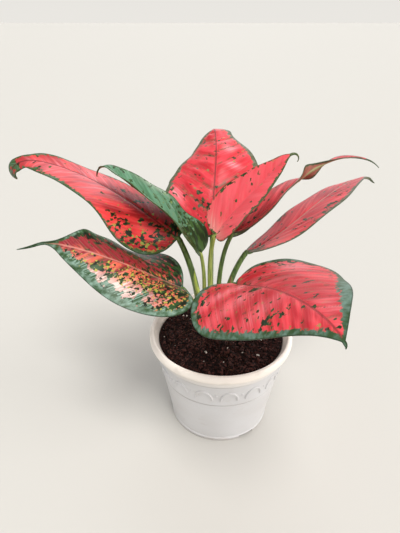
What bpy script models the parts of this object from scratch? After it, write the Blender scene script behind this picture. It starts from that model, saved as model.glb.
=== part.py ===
"""A chinese evergreen in a white moulded plastic pot.

The pot stands on the floor plane with the centre of its base at the origin. The plant is a short
rooted cane with eight leaves, each a petiole and a blade, one young shoot and one dried sheath.
All sizes below are millimetres and degrees; meshes are written in metres, +Z up.
"""

import math
from dataclasses import dataclass

import bmesh
import bpy
import numpy as np

MM = 0.001
CLEARANCE = 0.3

# Pot: a straight cone under a stepped collar and a rim band.
POT_HEIGHT = 102.0
RIM_OUTER_RADIUS = 70.0
RIM_INNER_RADIUS = 65.0
RIM_BAND = 8.0
COLLAR_RADIUS = 64.6
COLLAR_DROP = 9.0
SHOULDER_RADIUS = 63.2
BAND_BOTTOM = 59.0
FOOT_RADIUS = 50.0
FOOT_STEP = 4.0
WALL = 2.0
FLOOR_THICKNESS = 2.5
POT_SEGMENTS = 48

# Raised arches round the upper wall, with a stud between each two.
ARCH_COUNT = 16
ARCH_FIRST_ANGLE = -16.5
ARCH_HALF_WIDTH = 7.5
ARCH_FOOT_HEIGHT = 63.5
ARCH_RISE = 12.0
ARCH_BAR = 1.4
ARCH_STEPS = 7
STUD_HEIGHT = 72.0
STUD_SIZE = 1.8

# Three drain notches cut through the corner of the base.
NOTCH_COUNT = 3
NOTCH_FIRST_ANGLE = 31.0
NOTCH_WIDTH = 17.0
NOTCH_HEIGHT = 3.5
NOTCH_INNER_RADIUS = 43.0

# Soil: fills the pot to a little under the rim, slightly heaped at the cane.
SOIL_EDGE_HEIGHT = 94.0
SOIL_HEAP = 2.5
SOIL_ROUGHNESS = 0.7
SOIL_RINGS = 6

# Cane and roots, one grown piece.
CANE_X = -10.0
CANE_BOTTOM = 45.0
CANE_TOP = 118.0
CANE_RADIUS = 6.0
CANE_SIDES = 12
ROOT_COUNT = 6
ROOT_REACH = 36.0
ROOT_RADIUS = 2.0
ROOT_SIDES = 6

# Petioles stand in a ring round the cane and swing out to their blades.
PETIOLE_RING = 8.9
PETIOLE_RADIUS = 2.45
PETIOLE_TIP_RADIUS = 1.7
PETIOLE_SIDES = 8
PETIOLE_STEPS = 10
PETIOLE_RISE = 0.6
PETIOLE_BEND = 0.4

# Blades.
BLADE_THICKNESS = 0.8
BLADE_STATIONS = 20
BLADE_HALF_CELLS = 3
MIDRIB_STEPS = 200
BASE_WIDTH = 1.0
TIP_WIDTH = 0.5
TIP_DROOP_START = 0.85


@dataclass(frozen=True)
class Leaf:
    """One leaf. Triples are values at the blade's base, middle and tip.

    base is where the blade starts. uneven widens the left half and narrows the right one by that
    share. heading turns from +X towards +Y, climb is the midrib's slope,
    roll lifts the left half, fold lifts both halves from the midrib and curl bends them back down.
    fullness shapes the outline: low values are blunt at the base (first) and at the tip (second).
    """

    name: str
    base: tuple
    length: float
    width: float
    uneven: float
    heading: tuple
    climb: tuple
    roll: tuple
    fold: tuple
    curl: float
    fullness: tuple
    tip_droop: float
    ring_angle: float
    ring_height: float
    colour: tuple


LEAVES = (
    Leaf("left_upper", (-40, 0, 201), 165, 70, 0.15, (144, 167, 191), (24, 26, 6), (-43, 4, -44),
         (-14, 3, -5), 15, (0.41, 0.91), 48, 180, 106, (0.72, 0.20, 0.24)),
    Leaf("left_lower", (-36, -18, 160), 132, 86, 0.04, (210, 199, 188), (38, 32, 12),
         (-22, -21, -95), (34, -5, 0), 34, (0.44, 1.3), 28, 226, 101, (0.45, 0.38, 0.16)),
    Leaf("left_back", (-20, 1, 185), 123, 56, 0.0, (167, 164, 162), (63, 36, 40), (-7, 12, 5),
         (23, 20, 18), 3, (0.42, 0.97), 100, 140, 107, (0.13, 0.30, 0.22)),
    Leaf("back", (-9, 42, 182), 152, 99, 0.0, (78, 86, 96), (100, 32, 12), (3, -6, -15),
         (11, -12, -20), 9, (0.42, 0.92), 42, 92, 109, (0.78, 0.25, 0.28)),
    Leaf("centre", (-8, -6, 206), 93, 55, 0.0, (4, 2, 0), (60, 48, 57), (20, 17, 32),
         (10, 9, 0), -8, (0.42, 1.03), 35, 0, 119, (0.80, 0.30, 0.30)),
    Leaf("right_back", (9, 4, 204), 145, 59, 0.0, (26, 15, 3), (16, 37, -26), (-4, -21, -70),
         (22, 13, 9), 10, (0.42, 1.1), 0, 48, 108, (0.62, 0.16, 0.20)),
    Leaf("right", (23, 10, 182), 160, 57, 0.0, (15, 28, 40), (18, 28, -24), (-22, -16, -36),
         (3, 3, -8), 10, (0.42, 0.9), 12, 6, 105, (0.66, 0.30, 0.32)),
    Leaf("front", (9, -32, 173), 155, 108, 0.0, (-68, -71, -73), (29, 22, -2), (13, 17, 33),
         (31, 0, 5), 30, (0.52, 1.05), 20, 300, 103, (0.80, 0.24, 0.26)),
)


def clear_scene():
    """Remove every object of the open scene."""
    for old in list(bpy.data.objects):
        bpy.data.objects.remove(old)


def material(name, colour, roughness, metallic=0.0):
    """A Principled material of one colour."""
    made = bpy.data.materials.new(name)
    made.use_nodes = True
    shader = made.node_tree.nodes["Principled BSDF"]
    shader.inputs["Base Color"].default_value = (*colour, 1.0)
    shader.inputs["Roughness"].default_value = roughness
    shader.inputs["Metallic"].default_value = metallic
    return made


def add_object(name, mesh, finish=None):
    """Put a bmesh into the scene as a named object."""
    bmesh.ops.recalc_face_normals(mesh, faces=mesh.faces[:])
    data = bpy.data.meshes.new(name)
    mesh.to_mesh(data)
    mesh.free()
    made = bpy.data.objects.new(name, data)
    bpy.context.collection.objects.link(made)
    if finish:
        data.materials.append(finish)
    return made


def combine(target, tool, operation):
    """Add a Boolean modifier and hide its tool."""
    tool.hide_render = True
    tool.display_type = "WIRE"
    step = target.modifiers.new(tool.name, "BOOLEAN")
    step.object = tool
    step.operation = operation
    step.solver = "EXACT"


def polar(radius, angle, height):
    """A point from its radius and its angle; 0 degrees faces the front, -Y, and +90 faces +X."""
    turn = math.radians(angle)
    return np.array((radius * math.sin(turn), -radius * math.cos(turn), height))


def lathe(profile, segments):
    """A closed solid of revolution. The profile starts and ends on the axis."""
    mesh = bmesh.new()
    points = [mesh.verts.new((radius * MM, 0.0, height * MM)) for radius, height in profile]
    edges = [mesh.edges.new(pair) for pair in zip(points[:-1], points[1:])]
    bmesh.ops.spin(mesh, geom=points + edges, cent=(0, 0, 0), axis=(0, 0, 1),
                   angle=2 * math.pi, steps=segments, use_merge=True)
    bmesh.ops.remove_doubles(mesh, verts=mesh.verts[:], dist=1e-6)
    return mesh


def wall_radius(height):
    """Outer radius of the pot's cone under the collar."""
    share = height / (POT_HEIGHT - RIM_BAND - COLLAR_DROP)
    return FOOT_RADIUS + (SHOULDER_RADIUS - FOOT_RADIUS) * share


def pot_profile():
    """Half section of the pot, from the axis under the base, up outside and back down inside."""
    rim_bottom = POT_HEIGHT - RIM_BAND
    collar_bottom = rim_bottom - COLLAR_DROP
    inner_floor_radius = FOOT_RADIUS - WALL - 0.5
    return (
        (0.0, 0.0),
        (FOOT_RADIUS - 0.8, 0.0),
        (FOOT_RADIUS, 0.8),
        (wall_radius(FOOT_STEP), FOOT_STEP),
        (wall_radius(FOOT_STEP) - 0.6, FOOT_STEP + 0.6),
        (wall_radius(BAND_BOTTOM) - 0.6, BAND_BOTTOM - 1.0),
        (wall_radius(BAND_BOTTOM), BAND_BOTTOM),
        (SHOULDER_RADIUS, collar_bottom),
        (COLLAR_RADIUS, collar_bottom + 0.6),
        (COLLAR_RADIUS + 0.5, rim_bottom),
        (RIM_OUTER_RADIUS - 0.8, rim_bottom + 0.3),
        (RIM_OUTER_RADIUS, rim_bottom + 2.5),
        (RIM_OUTER_RADIUS - 0.3, POT_HEIGHT - 2.2),
        (RIM_OUTER_RADIUS - 1.8, POT_HEIGHT - 0.4),
        (0.5 * (RIM_OUTER_RADIUS + RIM_INNER_RADIUS), POT_HEIGHT),
        (RIM_INNER_RADIUS + 0.6, POT_HEIGHT - 0.8),
        (RIM_INNER_RADIUS, POT_HEIGHT - 2.5),
        (inner_radius(SOIL_EDGE_HEIGHT), SOIL_EDGE_HEIGHT),
        (inner_floor_radius, FLOOR_THICKNESS + 2.0),
        (inner_floor_radius - 2.0, FLOOR_THICKNESS),
        (0.0, FLOOR_THICKNESS),
    )


def inner_radius(height):
    """Inner radius of the pot's cone, from the floor's corner to the soil's edge."""
    bottom = FOOT_RADIUS - WALL - 0.5
    top = SHOULDER_RADIUS - WALL
    start = FLOOR_THICKNESS + 2.0
    return bottom + (top - bottom) * (height - start) / (SOIL_EDGE_HEIGHT - start)


def sweep_bar(mesh, centres, outward, width, depth):
    """Add a closed square bar along centres; outward gives the thick direction at each one."""
    rings = []
    for index, centre in enumerate(centres):
        before = centres[max(index - 1, 0)]
        after = centres[min(index + 1, len(centres) - 1)]
        along = (after - before) / np.linalg.norm(after - before)
        out = outward[index]
        side = np.cross(along, out) * width / 2
        corners = (side - out * depth, side + out * depth / 2, -side + out * depth / 2,
                   -side - out * depth)
        rings.append([mesh.verts.new((centre + corner) * MM) for corner in corners])
    for low, high in zip(rings[:-1], rings[1:]):
        for index in range(4):
            after = (index + 1) % 4
            mesh.faces.new((low[index], low[after], high[after], high[index]))
    mesh.faces.new(rings[0][::-1])
    mesh.faces.new(rings[-1])


def pot_relief():
    """The arches and studs as bars that stand half sunk in the wall."""
    mesh = bmesh.new()
    pitch = 360.0 / ARCH_COUNT
    for number in range(ARCH_COUNT):
        middle = ARCH_FIRST_ANGLE + number * pitch
        centres = []
        outward = []
        for step in range(ARCH_STEPS + 1):
            turn = math.pi * step / ARCH_STEPS
            angle = middle - ARCH_HALF_WIDTH * math.cos(turn)
            height = ARCH_FOOT_HEIGHT + ARCH_RISE * math.sin(turn) ** 0.8
            centres.append(polar(wall_radius(height), angle, height))
            outward.append(polar(1.0, angle, 0.0))
        sweep_bar(mesh, centres, outward, ARCH_BAR, ARCH_BAR)
        stud_angle = middle + pitch / 2
        ends = [STUD_HEIGHT - STUD_SIZE / 2, STUD_HEIGHT + STUD_SIZE / 2]
        studs = [polar(wall_radius(height), stud_angle, height) for height in ends]
        sweep_bar(mesh, studs, [polar(1.0, stud_angle, 0.0)] * 2, STUD_SIZE, ARCH_BAR)
    return add_object("pot_relief_tool", mesh)


def drain_notches():
    """Boxes through the corner between base and wall."""
    mesh = bmesh.new()
    for number in range(NOTCH_COUNT):
        angle = NOTCH_FIRST_ANGLE + number * 360.0 / NOTCH_COUNT
        ends = [polar(radius, angle, 0.0) for radius in (NOTCH_INNER_RADIUS, FOOT_RADIUS + 6)]
        up = np.array((0.0, 0.0, 1.0))
        sweep_bar(mesh, ends, [up * 2] * 2, NOTCH_WIDTH / 2, NOTCH_HEIGHT)
    return add_object("drain_notch_tool", mesh)


def build_pot():
    """The moulded pot, one shell with its relief and drain notches."""
    finish = material("pot_plastic", (0.82, 0.80, 0.76), 0.4)
    pot = add_object("pot", lathe(pot_profile(), POT_SEGMENTS), finish)
    combine(pot, pot_relief(), "UNION")
    combine(pot, drain_notches(), "DIFFERENCE")


def tube(path, radii, sides):
    """A closed round tube along a path, with its own radius at each point."""
    mesh = bmesh.new()
    rings = []
    reference = np.array((0.0, 1.0, 0.2))
    for index, centre in enumerate(path):
        before = path[max(index - 1, 0)]
        after = path[min(index + 1, len(path) - 1)]
        along = (after - before) / np.linalg.norm(after - before)
        across = np.cross(along, reference)
        across /= np.linalg.norm(across)
        second = np.cross(along, across)
        ring = []
        for side in range(sides):
            turn = 2 * math.pi * side / sides
            offset = across * math.cos(turn) + second * math.sin(turn)
            ring.append(mesh.verts.new((centre + offset * radii[index]) * MM))
        rings.append(ring)
    for low, high in zip(rings[:-1], rings[1:]):
        for side in range(sides):
            after = (side + 1) % sides
            mesh.faces.new((low[side], low[after], high[after], high[side]))
    mesh.faces.new(rings[0][::-1])
    mesh.faces.new(rings[-1])
    return mesh


def bezier(start, start_handle, end_handle, end, steps):
    """Points of a cubic Bezier curve."""
    share = np.linspace(0.0, 1.0, steps + 1)[:, None]
    rest = 1.0 - share
    return (start * rest**3 + 3 * start_handle * rest**2 * share
            + 3 * end_handle * rest * share**2 + end * share**3)


def cane_shape(grow):
    """The cane as a tube: narrow at its buried foot, widest at the soil, rounded on top."""
    heights = (CANE_BOTTOM, CANE_BOTTOM + 6, SOIL_EDGE_HEIGHT, CANE_TOP - 2, CANE_TOP)
    radii = (CANE_RADIUS - 3, CANE_RADIUS - 1, CANE_RADIUS, CANE_RADIUS - 0.3, CANE_RADIUS - 2)
    path = [np.array((CANE_X, 0.0, height)) for height in heights]
    path[0][2] -= grow
    return tube(path, [radius + grow for radius in radii], CANE_SIDES)


def root_shape(number, grow):
    """One thick root, from inside the cane outwards and down through the soil."""
    angle = 360.0 * number / ROOT_COUNT + 20.0
    top = CANE_BOTTOM + 8.0 + 5.0 * (number % 3)
    centre = np.array((CANE_X, 0.0, 0.0))
    start = centre + polar(1.0, angle, top)
    end = polar(ROOT_REACH, angle + 15.0, 14.0 + 6.0 * (number % 2))
    path = bezier(start, centre + polar(22.0, angle, top - 2), polar(ROOT_REACH, angle, 40.0), end, 8)
    radii = np.linspace(ROOT_RADIUS, 0.5 * ROOT_RADIUS, len(path)) + grow
    if grow:
        path[-1][2] -= grow
    return tube(list(path), radii, ROOT_SIDES)


def build_stem():
    """The cane with its roots, one body."""
    finish = material("cane_bark", (0.30, 0.36, 0.12), 0.6)
    stem = add_object("rooted_stem", cane_shape(0.0), finish)
    for number in range(ROOT_COUNT):
        combine(stem, add_object(f"root_tool_{number}", root_shape(number, 0.0)), "UNION")


def soil_top(radius, angle):
    """Height of the soil's surface: a low heap with small waves."""
    heap = SOIL_HEAP * math.cos(0.5 * math.pi * min(radius / RIM_INNER_RADIUS, 1.0))
    waves = math.sin(3 * angle + 0.11 * radius) + math.sin(5 * angle - 0.17 * radius)
    fade = min(1.0, radius / 12.0) * (1.0 - radius / inner_radius(SOIL_EDGE_HEIGHT)) * 3.0
    return SOIL_EDGE_HEIGHT + heap + SOIL_ROUGHNESS * waves * min(fade, 1.0)


def soil_profile():
    """Half section of the soil, from the axis on the pot's floor to the axis on top."""
    floor = FLOOR_THICKNESS + CLEARANCE
    corner = FLOOR_THICKNESS + 2.0
    edge = inner_radius(SOIL_EDGE_HEIGHT) - CLEARANCE
    rings = [(edge * (1 - step / SOIL_RINGS), SOIL_EDGE_HEIGHT) for step in range(SOIL_RINGS + 1)]
    bottom = inner_radius(corner) - 2 * CLEARANCE
    return ((0.0, floor), (bottom - 2.0, floor), (bottom, corner), *rings)


def build_soil():
    """The soil: a solid that leaves room for the cane and roots."""
    mesh = lathe(soil_profile(), POT_SEGMENTS)
    for vert in mesh.verts:
        if vert.co.z > (SOIL_EDGE_HEIGHT - 0.1) * MM:
            radius = math.hypot(vert.co.x, vert.co.y) / MM
            vert.co.z = soil_top(radius, math.atan2(vert.co.y, vert.co.x)) * MM
    soil = add_object("soil", mesh, material("potting_soil", (0.025, 0.018, 0.014), 0.95))
    combine(soil, add_object("cane_space_tool", cane_shape(CLEARANCE)), "DIFFERENCE")
    for number in range(ROOT_COUNT):
        tool = add_object(f"root_space_tool_{number}", root_shape(number, CLEARANCE))
        combine(soil, tool, "DIFFERENCE")


def blend(values, share):
    """Smooth curve through the base, middle and tip values."""
    base, middle, tip = values
    return (base * (1 - share) * (1 - 2 * share) + 4 * middle * share * (1 - share)
            + tip * share * (2 * share - 1))


def midrib_direction(leaf, share):
    """Unit vectors at shares of the length: along the midrib, level left, and up from the blade."""
    heading = np.radians(blend(leaf.heading, share))
    droop = np.clip((share - TIP_DROOP_START) / (1 - TIP_DROOP_START), 0, 1) ** 1.5
    climb = np.radians(blend(leaf.climb, share) - leaf.tip_droop * droop)
    along = np.stack((np.cos(climb) * np.cos(heading), np.cos(climb) * np.sin(heading),
                      np.sin(climb)), -1)
    level = np.stack((-np.sin(heading), np.cos(heading), np.zeros_like(heading)), -1)
    return along, level, np.cross(along, level)


def half_width(leaf, share):
    """Half of the blade's width at shares of its length."""
    base, tip = leaf.fullness
    widest = base / (base + tip)
    outline = share**base * (1 - share)**tip / (widest**base * (1 - widest)**tip)
    least = BASE_WIDTH + (TIP_WIDTH - BASE_WIDTH) * share
    return np.maximum(leaf.width * outline, least) / 2


def blade_points(leaf, share, across):
    """Points of the blade's middle surface, in millimetres.

    share runs 0 to 1 from base to tip, across runs -1 to 1 from the right margin to the left.
    """
    stations = np.linspace(0.0, 1.0, MIDRIB_STEPS + 1)
    along = midrib_direction(leaf, stations)[0]
    steps = (along[:-1] + along[1:]) * leaf.length / MIDRIB_STEPS / 2
    midrib = np.vstack((leaf.base, np.array(leaf.base, float) + np.cumsum(steps, 0)))
    centre = np.stack([np.interp(share, stations, midrib[:, axis]) for axis in range(3)], -1)
    _, level, up = midrib_direction(leaf, share)
    roll = np.radians(blend(leaf.roll, share))[:, None]
    side = level * np.cos(roll) + up * np.sin(roll)
    normal = -level * np.sin(roll) + up * np.cos(roll)
    half = half_width(leaf, share) * (1 + leaf.uneven * np.sign(across))
    fold = np.radians(blend(leaf.fold, share))
    bend = np.radians(leaf.curl) * half / (leaf.width / 2) + 1e-6
    reach = np.abs(across)
    out = (np.sin(fold) - np.sin(fold - bend * reach)) / bend * half * np.sign(across)
    rise = (np.cos(fold - bend * reach) - np.cos(fold)) / bend * half
    return centre + side * out[:, None] + normal * rise[:, None]


def build_blade(leaf):
    """A leaf blade: a grid laid on the leaf's surface and thickened."""
    mesh = bmesh.new()
    bmesh.ops.create_grid(mesh, x_segments=2 * BLADE_HALF_CELLS, y_segments=BLADE_STATIONS, size=1.0)
    flat = np.array([vert.co[:2] for vert in mesh.verts])
    share = (1 - np.cos(np.pi * (flat[:, 1] + 1) / 2)) / 2
    points = blade_points(leaf, share, flat[:, 0]) * MM
    for vert, point in zip(mesh.verts, points):
        vert.co = point
    blade = add_object(f"blade_{leaf.name}", mesh, material(f"blade_{leaf.name}", leaf.colour, 0.4))
    skin = blade.modifiers.new("thickness", "SOLIDIFY")
    skin.thickness = BLADE_THICKNESS * MM
    skin.offset = 0.0


def build_petiole(leaf, finish):
    """The leaf's stalk, from the cane up and out to the blade's base."""
    centre = np.array((CANE_X, 0.0, 0.0))
    ring = 0.0 if leaf.ring_height > CANE_TOP else PETIOLE_RING
    turn = math.radians(leaf.ring_angle)
    start = centre + (ring * math.cos(turn), ring * math.sin(turn), leaf.ring_height)
    along = midrib_direction(leaf, np.array([0.0]))[0][0]
    end = np.array(leaf.base, float) - along * (CLEARANCE + BLADE_THICKNESS / 2)
    reach = np.linalg.norm(end - start)
    straight = (end - start) / reach
    rise = np.array((0.0, 0.0, PETIOLE_RISE)) + straight * (1 - PETIOLE_RISE)
    arrive = along * PETIOLE_BEND + straight * (1 - PETIOLE_BEND)
    path = bezier(start, start + rise * reach / 3, end - arrive * reach / 3, end, PETIOLE_STEPS)
    share = np.linspace(0.0, 1.0, PETIOLE_STEPS + 1)
    radii = PETIOLE_RADIUS + (PETIOLE_TIP_RADIUS - PETIOLE_RADIUS) * share
    radii[0] = 0.4 * PETIOLE_RADIUS
    add_object(f"petiole_{leaf.name}", tube(list(path), radii, PETIOLE_SIDES), finish)


def build_spike(name, start, end, radius, finish):
    """A small pointed piece that stands among the petioles."""
    rise = np.array((0.0, 0.0, 0.5 * (end[2] - start[2])))
    path = bezier(start, start + rise, end - 0.8 * rise, end, 8)
    radii = radius * np.sqrt(1.0 - np.linspace(0.0, 1.0, len(path)) ** 2 * 0.98)
    radii[0] = 0.5 * radius
    add_object(name, tube(list(path), radii, 6), finish)


def main():
    """Build every piece."""
    clear_scene()
    build_pot()
    build_soil()
    build_stem()
    green = material("petiole_green", (0.22, 0.33, 0.10), 0.45)
    for leaf in LEAVES:
        build_petiole(leaf, green)
        build_blade(leaf)
    pale = material("young_growth", (0.55, 0.60, 0.16), 0.45)
    dry = material("dried_sheath", (0.30, 0.16, 0.06), 0.8)
    build_spike("young_shoot", np.array((-12.0, -10.5, 104.0)), np.array((-25.0, -9.0, 163.0)),
                1.9, pale)
    build_spike("dried_sheath", np.array((2.5, -6.0, 104.0)), np.array((6.5, -6.0, 157.0)),
                1.3, dry)


main()
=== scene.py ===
"""Looks of a chinese evergreen in a white moulded pot: waxy leaves, stalks, cane, soil and pot."""
import logging
import math
from dataclasses import dataclass
from enum import Enum

import bpy
import numpy as np
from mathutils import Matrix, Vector


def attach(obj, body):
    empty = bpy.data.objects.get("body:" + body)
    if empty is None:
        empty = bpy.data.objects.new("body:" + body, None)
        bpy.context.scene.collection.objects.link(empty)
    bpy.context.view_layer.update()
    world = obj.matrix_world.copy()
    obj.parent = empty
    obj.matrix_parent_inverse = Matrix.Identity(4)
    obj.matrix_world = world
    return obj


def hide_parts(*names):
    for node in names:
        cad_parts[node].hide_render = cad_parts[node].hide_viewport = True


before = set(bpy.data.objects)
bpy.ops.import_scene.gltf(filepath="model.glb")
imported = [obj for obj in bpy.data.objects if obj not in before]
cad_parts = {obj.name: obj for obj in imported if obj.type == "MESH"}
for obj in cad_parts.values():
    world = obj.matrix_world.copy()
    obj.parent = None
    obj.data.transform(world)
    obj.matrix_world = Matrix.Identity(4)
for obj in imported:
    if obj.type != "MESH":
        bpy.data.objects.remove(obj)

log = logging.getLogger("potted_evergreen")
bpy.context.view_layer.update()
MM = 0.001
Triple = tuple[float, float, float]
SMOOTH = {"interpolation_type": "SMOOTHSTEP"}
COLOURS = {"data_type": "RGBA"}


# ---------------------------------------------------------------- shared helpers


def linear(hex_colour: str) -> tuple[float, float, float, float]:
    """Turn an sRGB hex colour into linear RGBA.

    Args:
        hex_colour: such as "#F2EEE6".

    Returns:
        Linear red, green, blue and an alpha of 1.
    """
    channels = [int(hex_colour[first:first + 2], 16) / 255 for first in (1, 3, 5)]
    return (*[c / 12.92 if c <= 0.04045 else ((c + 0.055) / 1.055) ** 2.4 for c in channels], 1.0)


def add_node(tree: bpy.types.NodeTree, kind: str, settings: dict | None = None,
             inputs: dict | None = None) -> bpy.types.Node:
    """Add one shader node.

    Args:
        tree: the material's node tree.
        kind: the node's class without its ShaderNode prefix.
        settings: property names, or input names or numbers, and their values.
        inputs: input names or numbers, and the output socket, number or hex colour for each.

    Returns:
        The new node.
    """
    node = tree.nodes.new("ShaderNode" + kind)
    for key, value in (settings or {}).items():
        if isinstance(key, str) and hasattr(node, key):
            setattr(node, key, value)
        else:
            node.inputs[key].default_value = value
    for key, source in (inputs or {}).items():
        if isinstance(source, bpy.types.NodeSocket):
            tree.links.new(source, node.inputs[key])
        else:
            node.inputs[key].default_value = linear(source) if isinstance(source, str) else source
    return node


def new_material(name: str) -> tuple[bpy.types.Material, bpy.types.NodeTree, bpy.types.Node]:
    """Make an empty Principled material.

    Args:
        name: the finish's name.

    Returns:
        The material, its tree and its Principled node.
    """
    material = bpy.data.materials.new(name)
    material.use_nodes = True
    tree = material.node_tree
    return material, tree, tree.nodes["Principled BSDF"]


def grain(tree: bpy.types.NodeTree, vector: bpy.types.NodeSocket, size: Triple, detail: float = 2.0,
          shift: float = 0.0, distortion: float = 0.0) -> bpy.types.NodeSocket:
    """Make noise whose grains have a real size.

    Args:
        tree: the material's node tree.
        vector: the place, in millimetres.
        size: the grains' size in millimetres along each axis.
        detail: how many finer layers the noise has.
        shift: moves the noise, so that two uses differ.
        distortion: how far the grains are pulled about.

    Returns:
        The noise's value, from 0 to 1.
    """
    placed = add_node(tree, "Mapping", {"Location": (shift, 1.7 * shift, 0.3 * shift),
                                        "Scale": tuple(1.0 / each for each in size)},
                      {"Vector": vector})
    noise = add_node(tree, "TexNoise", {"Scale": 1.0, "Detail": detail, "Distortion": distortion},
                     {"Vector": placed.outputs[0]})
    return noise.outputs["Fac"]


def object_mm(tree: bpy.types.NodeTree) -> bpy.types.NodeSocket:
    """Read Object coordinates in millimetres.

    Args:
        tree: the material's node tree.

    Returns:
        The scaled coordinates.
    """
    coordinates = add_node(tree, "TexCoord")
    scaled = add_node(tree, "VectorMath", {"operation": "SCALE", "Scale": 1.0 / MM},
                      {0: coordinates.outputs["Object"]})
    return scaled.outputs[0]


def select_only(piece: bpy.types.Object) -> None:
    """Select one object and make it active.

    Args:
        piece: the object.
    """
    bpy.ops.object.select_all(action="DESELECT")
    piece.select_set(True)
    bpy.context.view_layer.objects.active = piece


def apply_modifiers(piece: bpy.types.Object) -> None:
    """Apply every modifier of an object in order.

    Args:
        piece: the object.
    """
    select_only(piece)
    for name in [modifier.name for modifier in piece.modifiers]:
        bpy.ops.object.modifier_apply(modifier=name)


def smooth_by_angle(piece: bpy.types.Object, degrees: float) -> None:
    """Shade smooth, with edges sharper than an angle kept sharp."""
    select_only(piece)
    bpy.ops.object.shade_smooth_by_angle(angle=math.radians(degrees))


def join(pieces: list[bpy.types.Object], name: str) -> bpy.types.Object:
    """Join objects into the first one.

    Args:
        pieces: the objects, all with the same material slots or none.
        name: the joined object's name.

    Returns:
        The joined object.
    """
    bpy.ops.object.select_all(action="DESELECT")
    for piece in pieces:
        piece.select_set(True)
    bpy.context.view_layer.objects.active = pieces[0]
    bpy.ops.object.join()
    pieces[0].name = name
    return pieces[0]


def place(piece: bpy.types.Object, slot: str, *nodes: str) -> None:
    """Declare a finished piece on the root body.

    Args:
        piece: the finished piece.
        slot: not used.
        nodes: the CAD nodes it stands for, if any.
    """
    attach(piece, "root")
    if nodes:
        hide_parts(*nodes)
    log.info("%s: %d faces", piece.name, len(piece.data.polygons))


def points_from(values: np.ndarray) -> list[Vector]:
    """Rows of a millimetre array as metre vectors."""
    return [Vector(row) * MM for row in values.tolist()]


def bent_rod(name: str, points: np.ndarray, radii: np.ndarray, sides: int = 3) -> bpy.types.Object:
    """Make a round tapered rod along a path, as a bevelled curve turned into a mesh.

    Args:
        name: the object's name.
        points: (n, 3) path in millimetres.
        radii: n radii in millimetres.
        sides: the bevel's resolution.

    Returns:
        The mesh object, closed at both ends.
    """
    bpy.ops.object.select_all(action="DESELECT")
    bpy.ops.curve.primitive_bezier_curve_add()
    piece = bpy.context.object
    piece.name = name
    curve = piece.data
    curve.splines.clear()
    spline = curve.splines.new("POLY")
    spline.points.add(len(points) - 1)
    for point, where, radius in zip(spline.points, points_from(points), radii):
        point.co = (*where, 1.0)
        point.radius = radius
    curve.dimensions = "3D"
    curve.bevel_depth = MM
    curve.bevel_resolution = sides
    curve.use_fill_caps = True
    bpy.ops.object.convert(target="MESH")
    select_only(piece)
    bpy.ops.object.transform_apply(location=True, rotation=True, scale=True)
    bpy.ops.object.shade_smooth()
    return piece


def bezier(start: np.ndarray, start_handle: np.ndarray, end_handle: np.ndarray, end: np.ndarray,
           steps: int) -> np.ndarray:
    """Find points of a cubic Bezier curve.

    Args:
        start: where it starts.
        start_handle: the handle that it leaves towards.
        end_handle: the handle that it arrives from.
        end: where it ends.
        steps: how many steps it is cut into.

    Returns:
        (steps + 1, 3) points.
    """
    share = np.linspace(0.0, 1.0, steps + 1)[:, None]
    rest = 1.0 - share
    return (start * rest**3 + 3 * start_handle * rest**2 * share
            + 3 * end_handle * rest * share**2 + end * share**3)


def ring_point(radius: float, angle: float, height: float) -> np.ndarray:
    """A point from its radius and angle; 0 degrees faces the front, -Y, and +90 faces +X."""
    turn = math.radians(angle)
    return np.array((radius * math.sin(turn), -radius * math.cos(turn), height))


# ---------------------------------------------------------------- leaf finishes


class Paint(Enum):
    """What a patch paints on a blade; the value is its place in a blade's levels."""

    BLOTCH = 0
    MOSAIC = 1
    GREEN = 2
    PALE = 3
    DEEP_AND_SHADE = 4
    MARGIN = 5


@dataclass(frozen=True)
class Patch:
    """A soft patch that adds to one painted level around a place on a blade.

    Place and reach are shares of the blade's length and of its half width; the left half is
    positive. A margin patch adds millimetres of margin.
    """

    paint: Paint
    share: float
    across: float
    reach: float
    breadth: float
    amount: float


def patches(paint: Paint, *rows: tuple[float, ...]) -> tuple[Patch, ...]:
    """Patches of one paint; a row holds share, across, reach, breadth and amount."""
    return tuple(Patch(paint, *row) for row in rows)


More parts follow.
